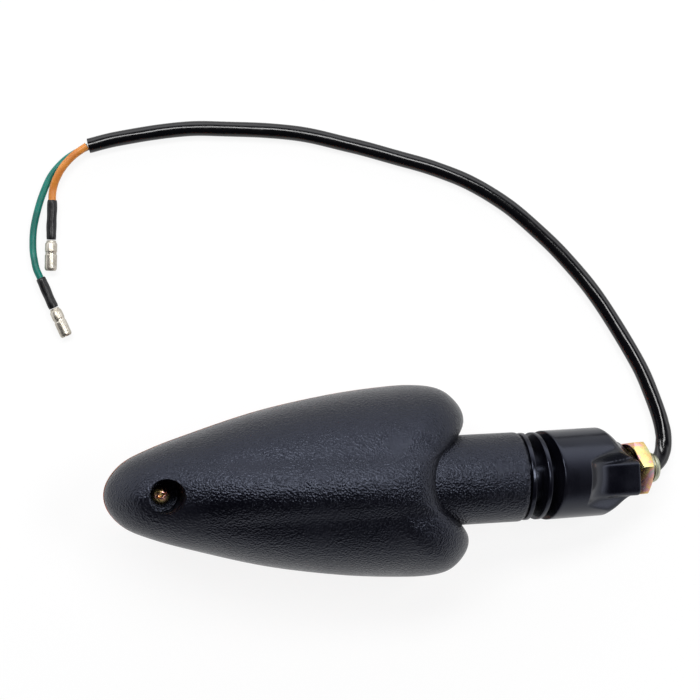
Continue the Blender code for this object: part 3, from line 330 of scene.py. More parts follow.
def rounded(profile, radius, steps=4):
    """The closed (radius, height) profile with each of its corners rounded; points on the axis stay."""
    points = [Vector(p) for p in profile]
    result = []
    for before, here, after in zip(points[-1:] + points[:-1], points, points[1:] + points[:1]):
        back, ahead = before - here, after - here
        reach = min(radius, back.length * 0.45, ahead.length * 0.45)
        if here.x < 1e-7 or reach < 1e-7 or abs(back.angle(ahead) - math.pi) < 0.15:
            result.append(here)
            continue
        start, end = here + back.normalized() * reach, here + ahead.normalized() * reach
        for k in range(steps + 1):
            t = k / steps
            result.append(start * (1 - t) ** 2 + here * 2 * t * (1 - t) + end * t * t)
    return result

def turned(profile, segments=96, hollow=False):
    """A profile in millimetres turned about z. A hollow one is a ring and never touches the axis."""
    angles = np.linspace(0, 2 * math.pi, segments, endpoint=False)
    rings = [[(r * MM * math.cos(a), r * MM * math.sin(a), z * MM) for a in angles] for r, z in profile]
    return skin(rings, closed=hollow)

def rod(radius, start, end, segments=64):
    return turned([(0, start), (radius, start), (radius, end), (0, end)], segments)

def through(points, fine):
    """A smooth curve through all points but the two outer ones, and its direction, in fine steps."""
    t = (np.arange(fine) / fine)[None, :, None]
    a, b, c, d = (points[k:len(points) - 3 + k, None, :] for k in range(4))
    square, cube = 2 * a - 5 * b + 4 * c - d, 3 * b - a - 3 * c + d
    curve = 0.5 * (2 * b + (c - a) * t + square * t * t + cube * t ** 3)
    flow = 0.5 * ((c - a) + 2 * square * t + 3 * cube * t * t)
    return [rows.reshape(-1, points.shape[1]) for rows in (curve, flow)]

print("mesh helpers ready")

# %% [markdown]
# ## Putting a piece into the model
#
# A finished piece has its place in its mesh and its object at the origin, as the CAD nodes have. `thing_from`
# moves the mesh and makes its faces point outwards; `add` gives the piece its finish, smooths it, hangs it on
# the empty of the body it rides on, and hides the CAD node it stands for.

# %% Add a piece, and cut or join shapes
def thing_from(name, shape, place=Matrix()):
    """A plain object from a mesh under construction."""
    shape.transform(place)
    bmesh.ops.recalc_face_normals(shape, faces=shape.faces)
    mesh = bpy.data.meshes.new(name)
    shape.to_mesh(mesh)
    shape.free()
    thing = bpy.data.objects.new(name, mesh)
    scene.collection.objects.link(thing)
    return thing

def baked(thing):
    """Apply a thing's modifiers by taking the mesh of its evaluated object."""
    bpy.context.view_layer.update()
    evaluated = thing.evaluated_get(bpy.context.evaluated_depsgraph_get())
    mesh = bpy.data.meshes.new_from_object(evaluated)
    thing.modifiers.clear()
    thing.data = mesh
    return thing

def carve(thing, steps):
    """Exact Booleans one after another; each step is an operation, a shape and maybe its place."""
    for number, (operation, shape, *place) in enumerate(steps):
        tool = thing_from(f"{thing.name}_tool_{number}", shape, *place)
        change = thing.modifiers.new("cut", "BOOLEAN")
        change.object, change.operation, change.solver = tool, operation, "EXACT"
        baked(thing)
        bpy.data.objects.remove(tool, do_unlink=True)
    return thing

def bevelled(thing, width, angle, segments=2):
    """Round every edge that is sharper than the angle."""
    change = thing.modifiers.new("edges", "BEVEL")
    change.width, change.segments = width, segments
    change.limit_method, change.angle_limit = "ANGLE", math.radians(angle)
    return baked(thing)

def add(thing, finish, body, nodes, smooth=35):
    """Shade and paint a finished piece, hang it on its body and hide the CAD node it stands for."""
    mesh = thing.data
    mesh.materials.clear()
    mesh.materials.append(finish.material)
    mesh.shade_smooth()
    mesh.set_sharp_from_angle(angle=math.radians(smooth))
    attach(thing, body)
    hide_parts(*nodes)
    print(f"{thing.name}: {len(mesh.polygons)} faces on {body}")
    return thing

# %% [markdown]
# ## Black finishes
#
# Four blacks that differ mostly in their surface. The shell is moulded with a fine pebble grain, about two
# thirds of a millimetre across. The rubber is smooth and satin, and reflects a little blue like the shell.
# The sleeving is soft and glossy with faint waves. Heat shrink is duller and a little lumpy. Colour hardly
# changes between them, so roughness and relief do the work.

# %% Grained plastic, rubber, sleeving and heat shrink
BLUISH = {"Specular_IOR_Level": 0.5, "Specular_Tint": (0.70, 0.77, 1.0, 1)}

def grained_plastic():
    finish = Finish("grained_plastic", **BLUISH)
    cloud, pebbles, fine = finish.noise(14 * MM, 4), finish.cells(0.62 * MM, 0.3), finish.noise(0.28 * MM, 2)
    return finish.soft(cloud, ((0.002, 0.002, 0.004), (0.004, 0.004, 0.007)), (0.22, 0.29),
                       share=finish.spread(cloud, 0.35, 0.7),
                       dust=(finish.specks(1.1 * MM, 2, 0.72, 0.78), 0.3, (0.12, 0.12, 0.13)),
                       bumps=(pebbles * 0.8 + fine * 0.3, 0.24 * MM, 0.95))

def black_rubber():
    finish = Finish("black_rubber", **BLUISH)
    return finish.soft(finish.noise(9 * MM, 4), ((0.002, 0.002, 0.004), (0.005, 0.005, 0.008)), (0.17, 0.26),
                       dust=(finish.specks(0.5 * MM, 3, 0.68, 0.8), 0.2, (0.12, 0.12, 0.12)),
                       bumps=(finish.noise(0.35 * MM, 4), 0.02 * MM, 0.5))

def black_sleeving():
    finish = Finish("black_sleeving", Specular_IOR_Level=0.55)
    wave = finish.noise(3.2 * MM, 3)
    return finish.soft(wave, ((0.003, 0.003, 0.004), (0.003, 0.003, 0.004)), (0.12, 0.2),
                       dust=(finish.specks(0.7 * MM, 2, 0.74, 0.82), 0.35, (0.2, 0.2, 0.2)),
                       bumps=(wave, 0.12 * MM, 0.5))

def heat_shrink():
    finish = Finish("heat_shrink", Specular_IOR_Level=0.45)
    wave = finish.noise(1.6 * MM, 3)
    return finish.soft(wave, ((0.006, 0.006, 0.007), (0.014, 0.014, 0.015)), (0.30, 0.46),
                       share=finish.spread(wave, 0.4, 0.7), bumps=(wave, 0.15 * MM, 0.6))

def insulation(name, plain, deep):
    """Soft coloured wire covering, a little grimy."""
    finish = Finish(name, Specular_IOR_Level=0.5)
    return finish.soft(finish.noise(4 * MM, 4), (plain, deep), (0.34, 0.48),
                       dust=(finish.specks(1.3 * MM, 3, 0.62, 0.75), 0.3, tuple(0.35 * c for c in deep)),
                       bumps=(finish.noise(0.8 * MM, 3), 0.03 * MM, 0.5))

PLASTIC, RUBBER, SLEEVING, SHRINK = grained_plastic(), black_rubber(), black_sleeving(), heat_shrink()
ORANGE = insulation("orange_insulation", (0.73, 0.27, 0.045), (0.60, 0.19, 0.03))
GREEN = insulation("green_insulation", (0.0, 0.215, 0.165), (0.0, 0.14, 0.11))
print("black and coloured soft finishes ready")

# %% [markdown]
# ## Plated metals
#
# Yellow zinc plating gets its rainbow from a thin passivation film: gold where it is thin, pink and green
# where it is thicker. A slow noise picks the film's thickness, and a colour ramp turns that into a tint. The
# stud has the dull olive kind. The bullet terminals are tin plated, pale and matt.

# %% Yellow and olive zinc, tin, brass, steel and solder
def plated(name, stops, size, low, high, depth=0.012, grain=0.35):
    """A metal whose tint wanders with the thickness of its film, and whose shine wanders with it."""
    finish = Finish(name, Metallic=1.0)
    film = finish.noise(size, 3, rough=0.55)
    scratches = finish.noise(0.5 * MM, 3, (1, 1, 6))
    colour = finish.colours(finish.spread(film, 0.25, 0.75), stops)
    finish.take({"base_color": colour,
                 "roughness": finish.spread(scratches, 0.3, 0.7, low, high),
                 "normal": finish.relief(finish.noise(grain * MM, 3), depth * MM, 0.6)})
    return finish

ZINC = plated("yellow_zinc", [(0.0, (0.66, 0.70, 0.36)), (0.22, (0.86, 0.72, 0.30)), (0.48, (0.90, 0.62, 0.24)),
                              (0.70, (0.88, 0.44, 0.36)), (0.86, (0.70, 0.42, 0.52)), (1.0, (0.52, 0.62, 0.44))],
              3.4 * MM, 0.14, 0.28)
OLIVE = plated("olive_zinc", [(0.0, (0.30, 0.32, 0.24)), (0.5, (0.46, 0.48, 0.36)), (1.0, (0.58, 0.56, 0.44))],
               4 * MM, 0.28, 0.42, 0.02)
TIN = plated("tinned_brass", [(0.0, (0.46, 0.42, 0.35)), (0.5, (0.60, 0.56, 0.48)), (1.0, (0.72, 0.68, 0.60))],
             2.4 * MM, 0.32, 0.5, 0.03)
BRASS = plated("stamped_brass", [(0.0, (0.62, 0.46, 0.20)), (0.5, (0.78, 0.60, 0.28)), (1.0, (0.86, 0.72, 0.42))],
               5 * MM, 0.22, 0.38)
STEEL = plated("bright_steel", [(0.0, (0.46, 0.46, 0.47)), (1.0, (0.70, 0.70, 0.71))], 3 * MM, 0.2, 0.36)
SOLDER = plated("solder", [(0.0, (0.44, 0.44, 0.45)), (1.0, (0.62, 0.62, 0.63))], 1.2 * MM, 0.35, 0.55, 0.05)
print("plated finishes ready")

# %% [markdown]
# ## Clear, silvered and board finishes
#
# The lens is clear amber, so most of its light passes through. The reflector is plastic with a bright
# metal coat. Glass is nearly colourless. The little boards in the socket are brown phenolic paper.

# %% Amber, silver, glass and phenolic board
def amber_plastic():
    finish = Finish("amber_lens", Transmission_Weight=0.92, IOR=1.49)
    return finish.soft(finish.noise(11 * MM, 3), ((1.0, 0.36, 0.015), (0.98, 0.28, 0.01)),
                       finish.spread(finish.noise(2 * MM, 4), 0.4, 0.75, 0.03, 0.10),
                       bumps=(finish.noise(6 * MM, 2), 0.02 * MM, 0.4))

def silvered_plastic():
    finish = Finish("silvered_plastic", Metallic=1.0)
    return finish.soft(finish.noise(7 * MM, 3), ((0.82, 0.82, 0.84), (0.72, 0.72, 0.74)), (0.08, 0.18),
                       bumps=(finish.cells(3.2 * MM, 0.3), 0.25 * MM, 0.6))

def lamp_glass():
    finish = Finish("lamp_glass", Transmission_Weight=1.0, IOR=1.5)
    cloud = finish.noise(5 * MM, 3)
    return finish.soft(cloud, ((0.97, 0.98, 0.97), (0.93, 0.95, 0.95)),
                       finish.spread(cloud, 0.4, 0.7, 0.0, 0.04), share=cloud)

def phenolic_board():
    finish = Finish("phenolic_board")
    fibres = finish.noise(0.8 * MM, 4, (1, 5, 1))
    return finish.soft(fibres, ((0.30, 0.13, 0.05), (0.17, 0.07, 0.03)), (0.45, 0.65), share=fibres,
                       bumps=(fibres, 0.03 * MM, 0.5))

AMBER, SILVER, GLASS, BOARD = amber_plastic(), silvered_plastic(), lamp_glass(), phenolic_board()
print("clear, silvered and board finishes ready")

# %% [markdown]
# ## A path that tubes follow
#
# The lead is a real flexible thing of a fixed length, so its route comes first and its skin second. A
# smooth curve goes through the points of the route, and a frame is carried along it without twisting. A
# tube is then a row of (distance, radius) pairs. Going back along the path with a smaller radius makes the
# inside of a hollow end.

# %% Routes and tubes
STEPS_A_POINT = 30

class Route:
    """A smooth line through points given in millimetres, measured by the distance along it."""

    def __init__(self, points):
        known = np.array(points, float) * MM
        ends = np.vstack([2 * known[0] - known[1], known, 2 * known[-1] - known[-2]])
        self.line = np.vstack([through(ends, STEPS_A_POINT)[0], known[-1]])
        steps = np.linalg.norm(np.diff(self.line, axis=0), axis=1)
        self.reached = np.concatenate([[0], np.cumsum(steps)])
        self.length = self.reached[-1]
        flow = np.gradient(self.line, self.reached, axis=0)
        flow /= np.linalg.norm(flow, axis=1)[:, None]
        side = np.cross(flow[0], (0, 0, 1))
        self.sides, self.flow = [], flow
        for ahead in flow:
            side = side - ahead * np.dot(side, ahead)
            side = side / np.linalg.norm(side)
            self.sides.append(side)
        self.sides = np.array(self.sides)

    def at(self, distance):
        """The point, the side and the upward direction at a distance; it runs on straight past the ends."""
        pick = lambda rows: np.array([np.interp(distance, self.reached, rows[:, k]) for k in range(3)])
        over = distance - np.clip(distance, 0, self.length)
        side, ahead = pick(self.sides), pick(self.flow)
        side, ahead = side / np.linalg.norm(side), ahead / np.linalg.norm(ahead)
        return pick(self.line) + ahead * over, side, np.cross(side, ahead)

    def points(self, low, high, step):
        count = max(2, round((high - low) / step)) + 1
        return [self.at(s)[0].tolist() for s in np.linspace(low, high, count)]

def tube(route, profile, sides, swell=None):
    """A skin round a route through (distance, radius) pairs; swell changes the radius by place and angle."""
    rings = []
    for distance, radius in profile:
        middle, side, up = route.at(distance)
        ring = []
        for k in range(sides):
            a = 2 * math.pi * k / sides
            r = radius * (swell(distance, a) if swell else 1)
            ring.append(middle + side * math.cos(a) * r + up * math.sin(a) * r)
        rings.append(ring)
    return skin(rings)

def stations(low, high, radius, step):
    """(distance, radius) pairs at an even step, from the middle of the first end."""
    return [(low, 0)] + [(s, radius) for s in np.linspace(low, high, max(3, round((high - low) / step)))]

print("route helpers ready")

# %% [markdown]
# ## The lead
#
# The sleeve leaves the stud's hollow end, drops to the table and curls round in one wide loop. It is shown
# from end to end, so its length is the real one, 239 mm. Near the stud it is pinched and creased, and its
# cut end is hollow with two wires coming out of it. Each ends in heat shrink and a bullet terminal.

# %% The sleeve
SLEEVE = Route([(79.6, 0, 7.5), (83.6, 0.9, 5.3), (86.3, 4.2, 3.5), (87.0, 9.6, 2.7), (86.1, 15.4, 2.5),
                (83.7, 23.2, 2.5), (80.4, 31.8, 2.5), (74.6, 42.8, 2.5), (68.2, 53.7, 2.5), (61, 63.6, 2.5),
                (52.5, 73.2, 2.5), (41.7, 83.3, 2.5), (30.8, 90.7, 2.5), (20.1, 95.7, 2.5), (9, 99.5, 2.5),
                (-6.7, 104.5, 2.5), (-24.3, 109.1, 2.5), (-46.4, 111.3, 2.5), (-60.1, 111.7, 2.5),
                (-78, 109.8, 2.5), (-88.1, 107.8, 2.5)])

def sleeve_swell(distance, angle):
    """Wider than high where it is pinched near the stud, slimmer at its far end, faintly wavy all along."""
    pinch = math.exp(-((distance - 13 * MM) / (7 * MM)) ** 2)
    flat = 1 + pinch * (0.10 * math.cos(angle) ** 2 - 0.14 * math.sin(angle) ** 2)
    crease = 1 - 0.05 * pinch * max(0, math.sin(distance / (1.5 * MM) + 2 * math.cos(angle))) ** 4
    slim = 1 - 0.05 * min(1, distance / SLEEVE.length)
    wave = 1 + 0.008 * math.sin(distance / (2.7 * MM) + 3 * angle) + 0.006 * math.sin(distance / (7 * MM) - angle)
    return flat * crease * slim * wave

sleeve_end = SLEEVE.length
profile = stations(0, sleeve_end, 2.45 * MM, 0.9 * MM)
profile += [(sleeve_end, 2.0 * MM), (sleeve_end - 3 * MM, 1.95 * MM), (sleeve_end - 3 * MM, 0)]
sleeve = thing_from("lead_sleeve", tube(SLEEVE, profile, 28, sleeve_swell))
add(sleeve, SLEEVING, "mount", ["cable_sleeve"])
SLEEVE.points(0, SLEEVE.length, 2 * MM)
print("sleeve", round(SLEEVE.length / MM), "mm")

# %% The wires, their heat shrink and their bullet terminals
def lumpy(distance, angle):
    """Heat shrink follows what is under it, so it is never quite round."""
    return 1 + 0.03 * math.sin(distance / (0.9 * MM) + 2 * angle) + 0.03 * math.sin(distance / (2.1 * MM) - angle)

def bullet_profile(start):
    """A rolled terminal: a barrel, a groove, a rounded nose and a hollow end."""
    rows = [(0, 0), (0, 1.35), (0.15, 1.48), (0.5, 1.5), (0.8, 1.72), (1.15, 1.88), (3.4, 1.9), (3.7, 1.72),
            (4.3, 1.72), (4.6, 1.9), (8.4, 1.9), (8.85, 1.85), (9.2, 1.7), (9.4, 1.5), (9.38, 1.32), (9.1, 1.25),
            (4.6, 1.22), (4.4, 0)]
    return [(start + s * MM, r * MM) for s, r in rows]

def seam(distance, angle):
    """The joint where the sheet of the terminal meets itself: a shallow slit along its upper side."""
    off = abs((angle - 1.9 + math.pi) % (2 * math.pi) - math.pi)
    return 1 - 0.05 * math.exp(-(off / 0.10) ** 2)

def wire(name, points, radius, finish, shrink_length):
    """A wire that runs on inside its heat shrink, the heat shrink, and the terminal, all on one route."""
    route = Route(points)
    shown = route.length
    run = shown + 0.8 * shrink_length
    body = tube(route, stations(0, run, radius, 0.8 * MM) + [(run, 0)], 20)
    wire_piece = thing_from(f"{name}_wire_piece", body)
    add(wire_piece, finish, "mount", [f"{name}_wire"])
    low, high = shown + 0.3 * MM, shown + shrink_length
    rows = [(low, radius + 0.05 * MM), (low, 1.38 * MM), (low + 0.2 * MM, 1.5 * MM)]
    rows += [(s, 1.56 * MM) for s in np.linspace(low + 0.8 * MM, high - 0.9 * MM, 26)]
    rows += [(high - 0.4 * MM, 1.5 * MM), (high, 1.44 * MM), (high, 0.2 * MM)]
    cover = thing_from(f"{name}_shrink_piece", tube(route, rows, 28, lumpy))
    add(cover, SHRINK, "mount", [f"{name}_heat_shrink"])
    tip = thing_from(f"{name}_bullet_piece", tube(route, bullet_profile(high + 0.3 * MM), 48, seam))
    add(tip, TIN, "mount", [f"{name}_bullet"], smooth=30)
    route.points(0, run, 1.5 * MM)
    print(name, "wire", round(run / MM, 1), "mm")

wire("orange", [(-88.5, 107.7, 3.75), (-93.0, 104.8, 3.75), (-96.6, 101.1, 3.6), (-98.7, 97.7, 3.1),
                (-99.4, 96.1, 2.7), (-99.8, 94.8, 2.5), (-100.1, 93.2, 2.5), (-100.2, 91.7, 2.5)], 1.2 * MM,
     ORANGE, 12.6 * MM)
wire("green", [(-88.5, 107.7, 1.2), (-91.9, 106.2, 1.2), (-96, 103.7, 1.2), (-100.2, 99.4, 1.2),
               (-103.0, 94.1, 1.2), (-105.1, 88.4, 1.2), (-106.6, 82.4, 1.2), (-107, 76.5, 1.4),
               (-106.6, 72.6, 1.8), (-106.1, 70, 1.95), (-105.1, 67.5, 1.95)], 1.1 * MM, GREEN, 10.4 * MM)

# %% [markdown]
# ## The head's form
#
# The shell follows a rule, not a hand-drawn mesh. Half of its outline is a smooth curve from the nose
# round the rear lobe to the middle of the notch. From each point of the outline a line climbs to a spine in
# the middle, and its height follows a superellipse: a low power gives the sloping sides, a higher
# one the fuller rear wall. A ridge in line with the arm is added on top.

# %% Outline, heights and ridge
OUTLINE = np.array([(1.1, 0), (2.6, 5.0), (7.2, 9.8), (14.4, 13.2), (25.5, 16.9), (48, 23.2), (70.4, 27.2),
                    (88, 28.9), (98, 28.9), (104.2, 27.2), (108.6, 22.9), (109.9, 18.4), (107.7, 14.2),
                    (103, 9.8), (99.8, 4.9), (98.8, 0)]) * MM
CROWN = np.array([(0, 8), (10, 15.5), (20, 19.6), (45, 26), (70, 29.6), (110, 31.5)]) * MM
LENS_DEPTH = np.array([(0, 6), (10, 9.5), (25, 12.8), (50, 15), (75, 16.3), (110, 16.3)]) * MM
PARTING_Z, LENS_TOP_Z = -14.5 * MM, -16.1 * MM
SPINE_START, SPINE_END = 10 * MM, 77 * MM

def ease(value, low, high):
    t = np.clip((value - low) / (high - low), 0, 1)
    return t * t * (3 - 2 * t)

def outline(inset, fine):
    """Rows of x, y, lobe share and notch share, once round the head, moved inwards by inset."""
    flip = np.array([1, -1])
    known = np.vstack([OUTLINE[1] * flip, OUTLINE, OUTLINE[-2] * flip])
    curve, flow = through(known, fine)
    curve, flow = np.vstack([curve, OUTLINE[-1]]), np.vstack([flow, (0, -1)])
    inwards = np.stack([flow[:, 1], -flow[:, 0]], axis=1) / np.linalg.norm(flow, axis=1)[:, None]
    lobe = int(np.argmax(curve[:, 0]))
    past = np.arange(len(curve)) >= lobe
    rear = np.where(past, 1.0, ease(curve[:, 0], 88 * MM, 104 * MM))
    notch = np.where(past, ease(1 - curve[:, 1] / curve[lobe, 1], 0, 1), 0.0)
    half = np.column_stack([curve + inwards * inset, rear, notch])
    half[[0, -1], 1] = 0
    other = half[-2:0:-1] * np.array([1, -1, 1, 1])
    return np.vstack([half, other])

def height_along(x, table):
    """A smooth height at each x, through the rows of a table."""
    stations_x, heights = table.T
    slopes = np.gradient(heights, stations_x)
    x = np.clip(x, stations_x[0], stations_x[-1])
    k = np.clip(np.searchsorted(stations_x, x, side="right") - 1, 0, len(table) - 2)
    width = stations_x[k + 1] - stations_x[k]
    t = (x - stations_x[k]) / width
    return ((2 * t ** 3 - 3 * t ** 2 + 1) * heights[k] + (t ** 3 - 2 * t ** 2 + t) * width * slopes[k]
            + (3 * t ** 2 - 2 * t ** 3) * heights[k + 1] + (t ** 3 - t ** 2) * width * slopes[k + 1])

def ridge(x, y):
    share = 1 - (y / (9.2 * MM)) ** 2
    return 2.7 * MM * 0.5 * (share + np.sqrt(share * share + 0.03)) * ease(x, 14 * MM, 44 * MM)

def head_form(inset, base, table, drop, powers, direction, ridged=False, flat=0.0, fine=8, rings=34, edge=0.0):
    """The domed solid over the outline: a flat base, rings that climb, and the spine on top."""
    rim = outline(inset, fine)
    x, y, rear, notch = rim.T
    side, lobe, hollow = powers
    power = side + (lobe + (hollow - lobe) * notch - side) * rear
    spine = SPINE_START + (SPINE_END - SPINE_START) * np.clip(x / (88 * MM), 0, 1)
    levels = []
    if edge:
        rim_in = outline(inset + edge, fine)
        levels.append(np.column_stack([rim_in[:, 0], rim_in[:, 1], np.full(len(x), base)]))
    for ring in range(rings + 1):
        turn = math.pi / 2 * (1 - ring / rings) ** 1.35
        share, rise = math.sin(turn) ** (2 / power), math.cos(turn) ** (2 / power)
        if flat:
            rise = np.minimum(rise / (1 - flat ** power) ** (1 / power), 1.0)
        px, py = spine + (x - spine) * share, y * share
        height = (height_along(px, table) - drop + (ridge(px, py) if ridged else 0)) * rise
        levels.append(np.column_stack([px, py, base + direction * np.maximum(height, edge)]))
    shape, rows = quads(levels)
    shape.faces.new(rows[0])
    bmesh.ops.remove_doubles(shape, verts=shape.verts, dist=2e-6)
    bmesh.ops.triangulate(shape, faces=[f for f in shape.faces if len(f.verts) > 4])
    return shape

def overshot(shape, base, beyond):
    """A form whose flat base is moved beyond the rim, so that it cuts cleanly through it."""
    for vertex in shape.verts:
        if abs(vertex.co.z - base) < 1e-6:
            vertex.co.z += beyond
    return shape

print("outline", len(outline(0, 8)), "points round the head")

# %% [markdown]
# ## The housing
#
# The shell, the arm and the screw's well are one moulding. The solid form comes from the rule above,
# the arm is joined to it, and the hollow, the arm's bore and the well are cut out. Exact Booleans keep
# the crisp line where the rear wall meets the arm. The lettering place on the arm stays bare.

# %% Housing with its arm and screw well
HOUSING_POWERS = (2.3, 2.8, 4)
SCREW_X = 17.4 * MM

at_screw = Matrix.Translation((SCREW_X, 0, 0))
shell = thing_from("housing_shell",
                   head_form(0, PARTING_Z, CROWN, 0, HOUSING_POWERS, 1, ridged=True, edge=0.35 * MM))
arm = [(0, 90), (13.5, 90), (13.5, 123.6), (13.36, 124.3), (13.0, 124.8), (12.5, 125), (0, 125)]
hollow = head_form(2.4 * MM, PARTING_Z, CROWN, 2.4 * MM, HOUSING_POWERS, 1, fine=3, rings=12)
hollow = carve(thing_from("hollow", overshot(hollow, PARTING_Z, -0.3 * MM)),
               [("DIFFERENCE", rod(6.8, -12.4, 27), at_screw)])
hollow_shape = bmesh.new()
hollow_shape.from_mesh(hollow.data)
bpy.data.objects.remove(hollow, do_unlink=True)
well = rounded([(0, -10), (5.2, -10), (5.2, 27), (0, 27)], 0.5)
carve(shell, [("UNION", turned(arm, 128), ALONG),
              ("DIFFERENCE", hollow_shape),
              ("DIFFERENCE", rod(11, 84, 126), ALONG),
              ("DIFFERENCE", turned(well, 72), at_screw),
              ("DIFFERENCE", rod(1.75, -13.4, -9, 32), at_screw)])
shell.data.transform(HEAD)
add(shell, PLASTIC, "head", ["rear_housing"], smooth=32)

# %% [markdown]
# ## The lens and its optics
#
# Behind the shell sits the amber lens, a shallow dish with a boss for the screw. Real lenses spread the
# lamp's light with rows of small pillows moulded on the inside. They repeat over a curved
# surface, which is what Geometry Nodes is for: a grid of points is dropped onto the dish by ray, and a
# pillow is placed wherever a ray lands on a face that is level enough.

# %% The lens dish
LENS_POWERS = (2.5, 4.4, 3)
dish = thing_from("lens_dish",
                  head_form(0, LENS_TOP_Z, LENS_DEPTH, 0, LENS_POWERS, -1, flat=0.34, edge=0.3 * MM))
inner = head_form(2.2 * MM, LENS_TOP_Z, LENS_DEPTH, 2.2 * MM, LENS_POWERS, -1, flat=0.34, fine=4, rings=14)
boss_floor = (LENS_TOP_Z - float(height_along(np.array([SCREW_X]), LENS_DEPTH)[0])) / MM + 1.1
carve(dish, [("DIFFERENCE", overshot(inner, LENS_TOP_Z, 0.3 * MM)),
             ("UNION", rod(4.2, boss_floor, -12.7), at_screw),
             ("DIFFERENCE", rod(1.75, -23, -11, 32), at_screw)])

print(dish.name, len(dish.data.polygons), "faces")

# %% A Geometry Nodes group as plain Python
class Tree:
    """A Geometry Nodes group with named inputs, each a kind of socket and its usual value."""

    def __init__(self, name, **inputs):
        self.group = bpy.data.node_groups.new(name, "GeometryNodeTree")
        for side in ("INPUT", "OUTPUT"):
            self.group.interface.new_socket("Geometry", in_out=side, socket_type="NodeSocketGeometry")
        self.identifiers = {}
        for label, (kind, usual) in inputs.items():
            entry = self.group.interface.new_socket(label, in_out="INPUT", socket_type="NodeSocket" + kind)
            if usual is not None:
                entry.default_value = usual
            self.identifiers[label] = entry.identifier
        self.given = self.group.nodes.new("NodeGroupInput").outputs

    def node(self, kind, inputs, **settings):
        """Add a node with its inputs, each a value or a socket, and its settings; returns its outputs."""
        node = self.group.nodes.new(kind if "Node" in kind else "GeometryNode" + kind)
        for name, value in settings.items():
            setattr(node, name, value)
        for name, value in inputs.items():
            if isinstance(value, bpy.types.NodeSocket):
                self.group.links.new(value, node.inputs[name])
            else:
                node.inputs[name].default_value = value
        return node.outputs

    def maths(self, operation, one, two, **settings):
        return self.node("ShaderNodeMath", {0: one, 1: two}, operation=operation, **settings)[0]

    def end(self, geometry, material):
        """Realize Instances, then Set Material, then the group's output."""
        real = self.node("RealizeInstances", {"Geometry": geometry})
        paint = self.node("SetMaterial", {"Geometry": real[0], "Material": material})
        self.group.links.new(paint[0], self.group.nodes.new("NodeGroupOutput").inputs[0])
        return self

    def run(self, name, values):
        """Run on an empty mesh, its inputs set by their identifiers, and keep the result as a plain mesh."""
        thing = bpy.data.objects.new(name, bpy.data.meshes.new(name))
        scene.collection.objects.link(thing)
        change = thing.modifiers.new("nodes", "NODES")
        change.node_group = self.group
        for label, value in values.items():
            change[self.identifiers[label]] = value
        return baked(thing)

print("Geometry Nodes helper ready")

# %% A tree that scatters pillows on the dish
COLUMNS, ROWS = 41, 22

def optics_tree():
    tree = Tree("lens_optics", Dish=("Object", None), Pitch=("Float", 2.6 * MM), Radius=("Float", 1.25 * MM),
                Bulge=("Float", 0.5))
    node, given = tree.node, tree.given
    width, depth = (tree.maths("MULTIPLY", given["Pitch"], count - 1.0) for count in (COLUMNS, ROWS))
    grid = node("MeshGrid", {"Size X": width, "Size Y": depth, "Vertices X": COLUMNS, "Vertices Y": ROWS})
    above = node("Transform", {"Geometry": grid[0], "Translation": (54 * MM, 0, LENS_TOP_Z + MM)})
    dish_info = node("ObjectInfo", {"Object": given["Dish"]})
    ray = node("Raycast", {"Target Geometry": dish_info["Geometry"], "Ray Direction": (0, 0, -1),
                           "Ray Length": 0.03})
    level = node("ShaderNodeSeparateXYZ", {0: ray["Hit Normal"]})["Z"]
    height = node("ShaderNodeSeparateXYZ", {0: ray["Hit Position"]})["Z"]
    steep = node("FunctionNodeCompare", {"A": level, "B": 0.9}, operation="LESS_THAN")
    high = node("FunctionNodeCompare", {"A": height, "B": LENS_TOP_Z - 4 * MM}, operation="GREATER_THAN")
    missed = node("FunctionNodeBooleanMath", {0: ray["Is Hit"]}, operation="NOT")
    poor = node("FunctionNodeBooleanMath", {0: steep[0], 1: high[0]}, operation="OR")
    drop = node("FunctionNodeBooleanMath", {0: poor[0], 1: missed[0]}, operation="OR")
    landed = node("SetPosition", {"Geometry": above[0], "Position": ray["Hit Position"]})
    kept = node("DeleteGeometry", {"Geometry": landed[0], "Selection": drop[0]}, domain="POINT")
    pillow = node("MeshUVSphere", {"Segments": 10, "Rings": 6, "Radius": given["Radius"]})
    squat = node("ShaderNodeCombineXYZ", {"X": 1.0, "Y": 1.0, "Z": given["Bulge"]})
    points = node("MeshToPoints", {0: kept[0]})
    placed = node("InstanceOnPoints", {"Points": points[0], "Instance": pillow[0], "Scale": squat[0]})
    return tree.end(placed[0], AMBER.material)

bpy.context.view_layer.update()
optics = optics_tree().run("lens_optics_piece", {"Dish": dish})
print("pillows on the lens:", len(optics.data.vertices) // 52)

# %% Paint and place the lens and its optics
for thing in (dish, optics):
    thing.data.transform(HEAD)
add(dish, AMBER, "head", ["lens"])
optics.data.shade_smooth()
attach(optics, "head")

# %% [markdown]
# ## The lens screw
#
# A pan-head cross screw, plated yellow, sits deep in the well. Its head is turned and the
# cross is cut as two tapered blades, with every edge rounded a little afterwards.

# %% Screw with a cross recess
WELL_FLOOR, HEAD_HEIGHT = -9.7, 2.0
pan = [(0, -12), (0.6, -12), (1.45, -10), (1.45, 0), (2.62, 0), (2.8, 0.16), (2.8, 0.75), (2.66, 1.2), (2.3, 1.6),
       (1.7, 1.87), (0.9, 1.98), (0, HEAD_HEIGHT)]
screw = thing_from("cross_screw", turned([(r, WELL_FLOOR + z) for r, z in pan], 64), at_screw)

def blade(turn):
    """One arm pair of the cross: a wedge that narrows downwards."""
    ring = [[(x * w, y * t, z) for x, y in ((-1, -1), (1, -1), (1, 1), (-1, 1))]
            for w, t, z in ((0.9 * MM, 0.2 * MM, -1.35 * MM), (1.75 * MM, 0.36 * MM, 0.0), (1.8 * MM, 0.38 * MM, MM))]
    shape = skin(ring)
    shape.transform(Matrix.Rotation(math.radians(turn), 4, "Z"))
    return shape

